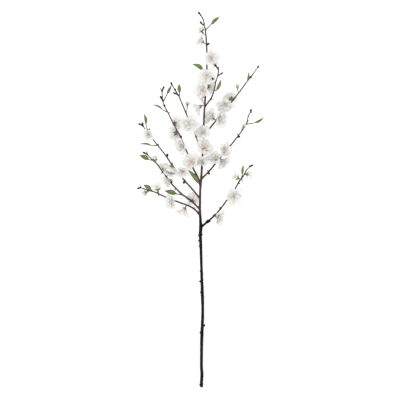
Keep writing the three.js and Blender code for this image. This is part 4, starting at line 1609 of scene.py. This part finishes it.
@dataclass
class Flower:
    """An open or half-open flower: petals in whorls, stamens, and the calyx on its stalk.

    Lengths are in millimetres, apart from the reach of the petals, which is in metres. A stamen's lean in
    degrees and the ring that it stands on grow from a least one, by as much again as the second number.
    """

    node: str
    seed: int
    limb: Limb
    share: float
    facing: Facing
    reach: float
    opening: float
    throat: Throat
    double: bool
    full_opening: float = math.radians(66)
    middle_closer: float = math.radians(12)
    inner_closer: float = math.radians(26)
    inner_least: float = math.radians(27)
    half_open_lean: float = math.radians(18)
    stamens: int = 22
    stamen_turn: float = math.radians(137.5)
    stamen_leans: Pair = (6, 34)
    stamen_length: float = 8.6
    stamen_shortening: float = 2.6
    stamen_foot: float = 1.2
    stamen_ring: Pair = (0.4, 1.2)
    stamen_uneven_turn: float = 0.3
    stamen_uneven_length: float = 0.7
    sepal_length: float = 8.4
    sepal_width: float = 1.15
    sepal_foot: float = -1.0
    sepal_uneven_lean: float = 0.15
    sepals_past_petals: float = math.radians(16)
    sepals_most: float = math.radians(84)
    large_calyx: float = 1.35
    stalk_inside: float = 1.0

    @classmethod
    def from_row(cls, node: str, seed: int, row: tuple, limbs: dict[str, Limb], double: bool) -> "Flower":
        """Makes the flower from its row in the table.

        Args:
            node: The node that it replaces.
            seed: The first number of its draws.
            row: Its row in the table.
            limbs: The limbs by name.
            double: Whether it is an open double flower.

        Returns:
            The flower.
        """
        limb, share, place, compass, height, reach, opening, throat = row
        facing = Facing.towards(Vector(place) * MM, compass, height)
        return cls(node, seed, limbs[limb], share, facing, reach * MM, math.radians(opening), throat, double)

    def place_whorl(self, masters: list[Piece], whorl: Whorl, lean: float) -> list[Placed]:
        """Places the petals of one whorl.

        Args:
            masters: The petals to choose from.
            whorl: How the whorl stands.
            lean: How far its petals lean out, in radians.

        Returns:
            Masters and their places.
        """
        seed = self.seed + whorl.seed_step
        first = self.first_turn() + whorl.turn * PETAL_STEP
        places = []
        for petal in range(PETALS):
            turn = first + petal * PETAL_STEP + spread(seed, petal, 1, whorl.uneven_turn)
            out = lean + spread(seed, petal, 2, whorl.uneven_lean)
            length = self.reach * whorl.reach * (1 + spread(seed, petal, 3, whorl.uneven_length))
            spread_out = math.sin(out) / math.sin(self.full_opening)
            width = spread_out * (1 + spread(seed, petal, 4, whorl.uneven_width))
            roll = spread(seed, petal, 5, whorl.uneven_roll)
            master = masters[int(len(masters) * draw(seed, petal, 6))]
            places.append((master, self.facing.blade(turn, out, length, width, whorl.lift, roll)))
        return places

    def first_turn(self) -> float:
        """Gives the direction of the first outer petal."""
        return draw(self.seed, 0, 0) * 2 * math.pi

    def build_petals(self, masters: Masters) -> Piece:
        """Places the whorls: three on a double flower, two on a half-open one.

        Args:
            masters: The shapes to copy.

        Returns:
            The petals, joined.
        """
        places = self.place_whorl(masters.outer, OUTER_WHORL, self.opening)
        if self.double:
            inner_lean = max(self.opening - self.inner_closer, self.inner_least)
            places += self.place_whorl(masters.middle, MIDDLE_WHORL, self.opening - self.middle_closer)
            places += self.place_whorl(masters.inner, INNER_WHORL, inner_lean)
        else:
            places += self.place_whorl(masters.inner, HALF_OPEN_WHORL, self.half_open_lean)
        petals = stamp(f"{self.node}_petals", places)
        rest(petals)
        return petals

    def build_stamens(self, masters: Masters) -> Piece:
        """Fans the stamens out from the middle, closer together and longer towards it.

        Args:
            masters: The shapes to copy.

        Returns:
            The stamens, joined.
        """
        places = []
        least, more = self.stamen_leans
        inmost, wider = self.stamen_ring
        for number in range(self.stamens):
            share = (number + 0.5) / self.stamens
            turn = number * self.stamen_turn + spread(self.seed, number, 11, self.stamen_uneven_turn)
            lean = math.radians(least + more * math.sqrt(share)) * self.opening / self.full_opening
            uneven = spread(self.seed, number, 12, self.stamen_uneven_length)
            length = (self.stamen_length - self.stamen_shortening * share + uneven) * MM
            step_out = Matrix.Translation(((inmost + wider * share) * MM, 0, self.stamen_foot * MM))
            standing = step_out @ Matrix.Rotation(lean, 4, "Y") @ Matrix.Scale(length, 4)
            places.append((masters.stamen, self.facing.upright(turn) @ standing))
        return stamp(f"{self.node}_stamens", places)

    def build_calyx(self, masters: Masters) -> Piece:
        """Joins the cup, its five sepals and the stalk that bends from the limb.

        Args:
            masters: The shapes to copy.

        Returns:
            The calyx with its stalk.
        """
        turn = self.first_turn() + PETAL_STEP / 2
        out = min(self.opening + self.sepals_past_petals, self.sepals_most)
        large = 1.0 if self.double else self.large_calyx
        length = self.sepal_length * large * MM
        places = [(masters.cup, self.facing.upright(turn, large))]
        for sepal in range(PETALS):
            lean = out + spread(self.seed, sepal, 21, self.sepal_uneven_lean)
            around = turn + sepal * PETAL_STEP
            blade = self.facing.blade(around, lean, length, self.sepal_width, self.sepal_foot * MM)
            places.append((masters.sepal, blade))
        calyx = stamp(f"{self.node}_calyx", places)
        foot_at = (self.stalk_inside - CALYX_LENGTH) * MM
        stalk = pedicel(self.node, self.limb.point(self.share), self.facing, foot_at)
        return join(f"{self.node}_calyx", [calyx, stalk])

    def make(self, masters: Masters, finishes: Finishes) -> None:
        """Builds the flower and dresses it.

        Args:
            masters: The shapes to copy.
            finishes: The materials.
        """
        dress(self.build_petals(masters), "petal", self.node, finishes.petals[self.throat])
        filament = finishes.filaments[self.throat]
        dress(self.build_stamens(masters), "stamen", self.node, filament, finishes.anther)
        skin = finishes.calyx if self.double else finishes.green_calyx
        dress(self.build_calyx(masters), "calyx", self.node, skin)


def pedicel(name: str, root: Vector, facing: Facing, foot_at: float) -> Piece:
    """Makes the stalk of a flower or a bud.

    Args:
        name: The name of what it carries.
        root: Where it leaves its limb.
        facing: The frame of what it carries.
        foot_at: Where along that frame's axis it ends, in metres.

    Returns:
        The stalk.
    """
    foot = facing.along(foot_at)
    pull = PEDICEL_BEND * (foot - root).length
    pulls = (root.lerp(foot, PEDICEL_BEND), foot - facing.axis * pull)
    radii = (PEDICEL_RADIUS * MM, CALYX_FOOT_RADIUS * MM)
    return bent_tube(f"{name}_stalk", (root, foot), pulls, radii)


@dataclass
class ClosedBud:
    """A closed white bud in its calyx, on a stalk, in millimetres along the bud's own axis."""

    node: str
    limb: Limb
    share: float
    facing: Facing
    ball_from: float = 6.8
    ball_to: float = 17.0
    ball_radius: float = 5.4
    sepal_from: float = 6.4
    sepal_length: float = 6.4
    sepal_width: float = 1.5
    sepal_lean: float = math.radians(38)
    sepal_uneven_turn: float = 0.15
    sepals_out: float = 2.6
    cup_from: float = 7.6
    cup_size: Triple = (1.25, 1.25, 1.15)
    stalk_to: float = 1.5

    @classmethod
    def from_row(cls, node: str, row: tuple, limbs: dict[str, Limb]) -> "ClosedBud":
        """Makes the bud from its row in the table."""
        limb, share, place, compass, height = row
        return cls(node, limbs[limb], share, Facing.towards(Vector(place) * MM, compass, height))

    def standing(self, height: float, size: Triple) -> Matrix:
        """Places a master that stands on z at a height along the bud's axis."""
        return self.facing.upright() @ Matrix.Translation((0, 0, height * MM)) @ Matrix.Diagonal((*size, 1))

    def build_white(self, masters: Masters) -> Piece:
        """Places the closed petals.

        Args:
            masters: The shapes to copy.

        Returns:
            The petals, closed.
        """
        wide = 2 * self.ball_radius * MM
        high = (self.ball_to - self.ball_from) * MM
        ball = self.standing(self.ball_from, (wide, wide, high))
        return stamp(f"{self.node}_petals", [(masters.white_bud, ball)])

    def build_calyx(self, masters: Masters) -> Piece:
        """Joins the cup, its five sepals and the stalk.

        Args:
            masters: The shapes to copy.

        Returns:
            The calyx with its stalk.
        """
        places = []
        for sepal in range(PETALS):
            turn = sepal * PETAL_STEP + spread(sepal, 41, 1, self.sepal_uneven_turn)
            out = Matrix.Translation(self.facing.across(turn) * self.sepals_out * MM)
            blade = self.facing.blade(
                turn, self.sepal_lean, self.sepal_length * MM, self.sepal_width, self.sepal_from * MM
            )
            places.append((masters.sepal, out @ blade))
        places.append((masters.cup, self.standing(self.cup_from, self.cup_size)))
        calyx = stamp(f"{self.node}_calyx", places)
        stalk = pedicel(self.node, self.limb.point(self.share), self.facing, self.stalk_to * MM)
        return join(f"{self.node}_calyx", [calyx, stalk])

    def make(self, masters: Masters, finishes: Finishes) -> None:
        """Builds the bud and its calyx, and dresses them."""
        dress(self.build_white(masters), "petal", self.node, finishes.closed_petal)
        dress(self.build_calyx(masters), "calyx", self.node, finishes.green_calyx)


@dataclass
class Leaf:
    """A young toothed leaf on its stalk."""

    node: str
    limb: Limb
    share: float
    foot: Vector
    tip: Vector
    width: float
    roll: float
    bow: float
    thickness: float = 0.45 * MM
    stalk_radius: float = 1.3 * MM
    stalk_bend: float = 0.6
    stalk_arch: float = 0.1
    stalk_inside: float = 0.12
    stalk_taper: tuple[float, ...] = (1.2, 1.0, 0.9, 0.35)

    @classmethod
    def from_row(cls, node: str, row: tuple, limbs: dict[str, Limb]) -> "Leaf":
        """Makes the leaf from its row in the table.

        Args:
            node: The node that it replaces.
            row: Its row in the table.
            limbs: The limbs by name.

        Returns:
            The leaf.
        """
        limb, share, foot, tip, width, roll, bow = row
        foot, tip = Vector(foot) * MM, Vector(tip) * MM
        return cls(node, limbs[limb], share, foot, tip, width * MM, math.radians(roll), bow * MM)

    def build_blade(self, masters: Masters) -> Piece:
        """Stretches the master to the leaf's size, bows it, thickens it and lays it in place.

        Args:
            masters: The shapes to copy.

        Returns:
            The blade.
        """
        length = (self.tip - self.foot).length
        along = (self.tip - self.foot).normalized()
        level = UP.cross(along).normalized()
        left = Matrix.Rotation(self.roll, 3, along) @ level
        top = along.cross(left)
        size = Matrix.Diagonal((self.width, length, self.width, 1))
        blade = stamp(f"{self.node}_blade", [(masters.leaf, size)])
        with editing(blade):
            for row in range(LeafPattern.rows + 1):
                sag = self.bow * math.sin(math.pi * row / LeafPattern.rows)
                pick(blade, row_of(row, LeafPattern.columns))
                shift(-sag * math.cos(self.roll), 0, -sag * math.sin(self.roll))
        thicken(blade, self.thickness)
        round_off(blade)
        turned = Matrix((-left, along, top)).transposed().to_4x4()
        blade.data.transform(Matrix.Translation(self.foot) @ turned)
        return blade

    def build_stalk(self) -> Piece:
        """Bends the stalk from the limb to the foot of the blade.

        Returns:
            The stalk.
        """
        root = self.limb.point(self.share)
        bend = root.lerp(self.foot, self.stalk_bend) + UP * self.stalk_arch * (self.foot - root).length
        inside = self.foot.lerp(self.tip, self.stalk_inside)
        places = (root, bend, self.foot, inside)
        stations = [(place, self.stalk_radius * share) for place, share in zip(places, self.stalk_taper)]
        return tube(f"{self.node}_stalk", stations, rounding=1, steps=4)

    def make(self, masters: Masters, finishes: Finishes) -> None:
        """Builds the leaf and dresses it."""
        dress(self.build_blade(masters), "leaf", self.node, finishes.leaf)
        dress(self.build_stalk(), "leaf", self.node, finishes.stalk)


# Spurs and knots: the radius at the root, how far below the tip they narrow, the radius there and at the
# tip. Each is a share of the growth's own radius or length.
TAPERS = {Growth.SPUR: (1.2, 0.2, 0.9, 0.5), Growth.KNOT: (1.1, 0.3, 0.85, 0.4)}


@dataclass
class Wood:
    """The stem with its twigs, spurs and knots, grown together, and the winter buds on it."""

    limbs: dict[str, Limb]
    rounding: int = 3
    growing: float = 1.17
    sink: float = 0.2 * MM
    skin: float = 0.2 * MM
    voxel: float = 0.8 * MM
    swell_size: float = 5 * MM
    swell: float = 0.8 * MM
    grit_size: float = 1.4 * MM
    grit: float = 0.35 * MM
    bud_length: float = 8 * MM
    bud_most: float = 0.95
    neck_from: float = 0.75
    neck_most: float = 0.8
    neck_width: float = 0.6
    neck_root: float = 1.5
    neck_top: float = 1.2
    cut_width: float = 0.96
    cut_depth: float = 1.2 * MM
    cut_inset: float = 0.35 * MM
    cut_bevel: float = 0.2 * MM

    def dressed(self, place: Vector, radius: float) -> tuple[Vector, float]:
        """Gives a station the radius that fusing brings back to its own, and keeps it above the surface."""
        grown = radius * self.growing + self.skin
        return Vector((place.x, place.y, max(place.z, grown - self.sink))), grown

    def growth_ends(self, row: tuple) -> tuple[Vector, Vector, float]:
        """Gives the root, the tip and the radius of a growth."""
        limb, share, tip, radius, _ = row
        return self.limbs[limb].point(share), Vector(tip) * MM, radius * MM

    def spur(self, number: int, row: tuple) -> Piece:
        """Makes a spur, a knot, or the stalk under a winter bud.

        Args:
            number: Its number, for its name.
            row: Its row in the table.

        Returns:
            The growth, still apart from the limb.
        """
        root, tip, radius = self.growth_ends(row)
        if row[-1] is Growth.BUD:
            below = min(self.neck_most, self.neck_from * self.bud_length / (tip - root).length)
            top = tip.lerp(root, below)
            neck = radius * self.neck_width
            stations = [(root, neck * self.neck_root), (top, neck * self.neck_top)]
        else:
            thick, below, narrow, thin = TAPERS[row[-1]]
            middle = tip.lerp(root, below)
            stations = [(root, radius * thick), (middle, radius * narrow), (tip, radius * thin)]
        return tube(f"growth_{number}", stations, self.rounding, steps=4)

    def build_wood(self) -> Piece:
        """Fuses limbs and growths in one body, and gives it the unevenness of bark.

        Returns:
            The wood.
        """
        parts = [
            tube(limb.name, [self.dressed(*station) for station in limb.stations], self.rounding, steps=8)
            for limb in self.limbs.values()
        ]
        parts += [self.spur(number, row) for number, row in enumerate(GROWTHS + SCARS)]
        wood = join("branch_wood", parts)
        modify(wood, "REMESH", mode="VOXEL", voxel_size=self.voxel, adaptivity=0.0)
        modify(wood, "SMOOTH", factor=0.5, iterations=1)
        self._roughen(wood, "bark_swell", self.swell_size, self.swell, level=0.45)
        self._roughen(wood, "bark_grit", self.grit_size, self.grit, level=0.5)
        smooth(wood)
        self._lay_grain(wood)
        return wood

    def _roughen(self, wood: Piece, name: str, size: float, height: float, level: float) -> None:
        """Moves the wood's surface in and out by cloudy noise.

        Args:
            wood: The fused wood.
            name: The noise's name.
            size: How large its clouds are, in metres.
            height: How far it moves the surface in all, in metres.
            level: The noise's value that leaves the surface where it is.
        """
        modify(
            wood, "DISPLACE", texture=clouds(name, size), texture_coords="LOCAL", direction="NORMAL",
            strength=height, mid_level=level,
        )

    def _lay_grain(self, wood: Piece) -> None:
        """Stores at each point how far along its limb it is, and its place across the limb.

        Args:
            wood: The fused wood.
        """
        points = np.empty(len(wood.data.vertices) * 3, dtype=np.float32)
        wood.data.vertices.foreach_get("co", points)
        points = points.reshape(-1, 3)
        nearest = np.full(len(points), np.inf, dtype=np.float32)
        grain = np.zeros_like(points)
        for limb in self.limbs.values():
            before = 0.0
            for (start, _), (end, _) in zip(limb.stations, limb.stations[1:]):
                span = (end - start).length
                ahead = (end - start).normalized()
                side = UP.cross(ahead).normalized()
                axes = np.array((ahead, side, ahead.cross(side)), dtype=np.float32)
                local = (points - np.array(start, dtype=np.float32)) @ axes.T
                past = local[:, 0] - np.clip(local[:, 0], 0, span)
                away = past**2 + local[:, 1] ** 2 + local[:, 2] ** 2
                closer = away < nearest
                nearest[closer] = away[closer]
                grain[closer] = local[closer] + np.array((before, 0, 0), dtype=np.float32)
                before += span
        attribute = wood.data.attributes.new("grain", "FLOAT_VECTOR", "POINT")
        attribute.data.foreach_set("vector", grain.ravel())

    def build_buds(self, masters: Masters) -> Piece:
        """Sets a winter bud on every growth that has one.

        Args:
            masters: The shapes to copy.

        Returns:
            The buds, joined.
        """
        places = []
        for number, row in enumerate(GROWTHS):
            if row[-1] is not Growth.BUD:
                continue
            root, tip, radius = self.growth_ends(row)
            length = min(self.bud_length, self.bud_most * (tip - root).length)
            ahead = (tip - root).normalized()
            turned = ahead.to_track_quat("Z", "Y").to_matrix().to_4x4()
            turn = Matrix.Rotation(2 * math.pi * draw(number, 0, 31), 4, "Z")
            size = Matrix.Diagonal((radius, radius, length, 1))
            place = Matrix.Translation(tip - ahead * length) @ turned @ turn @ size
            places.append((masters.winter_bud, place))
        return stamp("branch_winter_buds", places)

    def build_cut(self) -> Piece:
        """Makes the sawn face of the cut end: a thin disc with a bevelled rim, just proud of the bark.

        Returns:
            The face.
        """
        place, radius = self.limbs["main"].stations[0]
        clear_selection()
        bpy.ops.mesh.primitive_cylinder_add(
            vertices=32,
            radius=radius * self.cut_width,
            depth=self.cut_depth,
            location=place + Vector((0, self.cut_inset, 0)),
            rotation=(math.pi / 2, 0, 0),
        )
        face = settled("branch_cut_face")
        modify(face, "BEVEL", width=self.cut_bevel, segments=2)
        return face

    def make(self, masters: Masters, finishes: Finishes) -> None:
        """Builds the wood, its buds and its cut face, and dresses them.

        Args:
            masters: The shapes to copy.
            finishes: The materials.
        """
        dress(self.build_wood(), "bark", "branch", finishes.bark)
        dress(self.build_buds(masters), "bark", "branch", finishes.bud_scale)
        middle = self.limbs["main"].stations[0][0]
        dress(self.build_cut(), "bark", "branch", HeartwoodFinish().material(middle))


# Soft lights: name, place and side in metres, and power in watts
LIGHTS = (
    ("key", (-1.6, 1.6, 2.6), 2.0, 27),
    ("fill", (1.9, 0.4, 2.4), 2.4, 13.5),
    ("low_fill", (-0.4, -2.2, 2.2), 2.4, 13.5),
)


@dataclass
class Studio:
    """The pale surface, the soft lights and the camera that looks straight down."""

    width_in_view: float = 1.040
    middle: Pair = (-0.001, 0.0003)
    focus_height: float = 0.030
    lens: float = 300.0
    sensor: float = 36.0
    far_clip: float = 100.0
    floor_size: float = 12.0
    sky: float = 0.84

    def build_camera(self) -> None:
        """Sets the camera above the sprig, with the tip at the top of the picture."""
        distance = self.width_in_view * self.lens / self.sensor
        clear_selection()
        bpy.ops.object.camera_add(location=(*self.middle, self.focus_height + distance), rotation=(0, 0, 0))
        camera = bpy.context.object
        camera.name = "camera"
        camera.data.lens = self.lens
        camera.data.sensor_width = self.sensor
        camera.data.clip_end = self.far_clip
        bpy.context.scene.camera = camera

    def build_floor(self) -> None:
        """Lays the pale surface at z = 0."""
        clear_selection()
        bpy.ops.mesh.primitive_plane_add(size=self.floor_size, location=(0, 0, 0))
        floor = bpy.context.object
        floor.name = "paper"
        floor.data.materials.append(PaperFinish().material())

    def add_light(self, name: str, place: Triple, size: float, power: float) -> None:
        """Hangs a square soft light that faces the sprig.

        Args:
            name: The light's name.
            place: Where it hangs, in metres.
            size: Its side in metres.
            power: Its power in watts.
        """
        clear_selection()
        bpy.ops.object.light_add(type="AREA", location=place)
        light = bpy.context.object
        light.name = name
        light.data.size = size
        light.data.energy = power
        light.rotation_euler = (-Vector(place)).to_track_quat("-Z", "Y").to_euler()
        light.visible_camera = False

    def build_lights(self) -> None:
        """Lights the sprig evenly from all round, a little more from the upper left."""
        for name, place, size, power in LIGHTS:
            self.add_light(name, place, size, power)
        world = bpy.data.worlds.new("studio")
        world.use_nodes = True
        sky = world.node_tree.nodes["Background"]
        sky.inputs["Color"].default_value = (1, 1, 1, 1)
        sky.inputs["Strength"].default_value = self.sky
        bpy.context.scene.world = world

    def make(self) -> None:
        """Builds the whole studio."""
        self.build_camera()
        self.build_floor()
        self.build_lights()
        bpy.context.scene.view_settings.view_transform = "Standard"
        log.info("studio: camera, paper and three lights")


def main() -> None:
    """Builds the sprig and its studio."""
    logging.basicConfig(level=logging.INFO, format="%(name)s %(message)s")
    Studio().make()
    finishes = Finishes()
    masters = Masters()
    limbs = {name: Limb.named(name) for name in LIMBS}
    Wood(limbs).make(masters, finishes)
    for index, row in enumerate(BLOOMS):
        Flower.from_row(f"bloom_{index + 1:02d}", index, row, limbs, True).make(masters, finishes)
    for index, row in enumerate(HALF_OPEN):
        seed = len(BLOOMS) + index
        Flower.from_row(f"half_open_{index + 1:02d}", seed, row, limbs, False).make(masters, finishes)
    for index, row in enumerate(CLOSED_BUDS):
        ClosedBud.from_row(f"bud_{index + 1:02d}", row, limbs).make(masters, finishes)
    for index, row in enumerate(LEAVES):
        Leaf.from_row(f"leaf_{index + 1:02d}", row, limbs).make(masters, finishes)
    masters.discard()


if __name__ == "__main__":
    main()
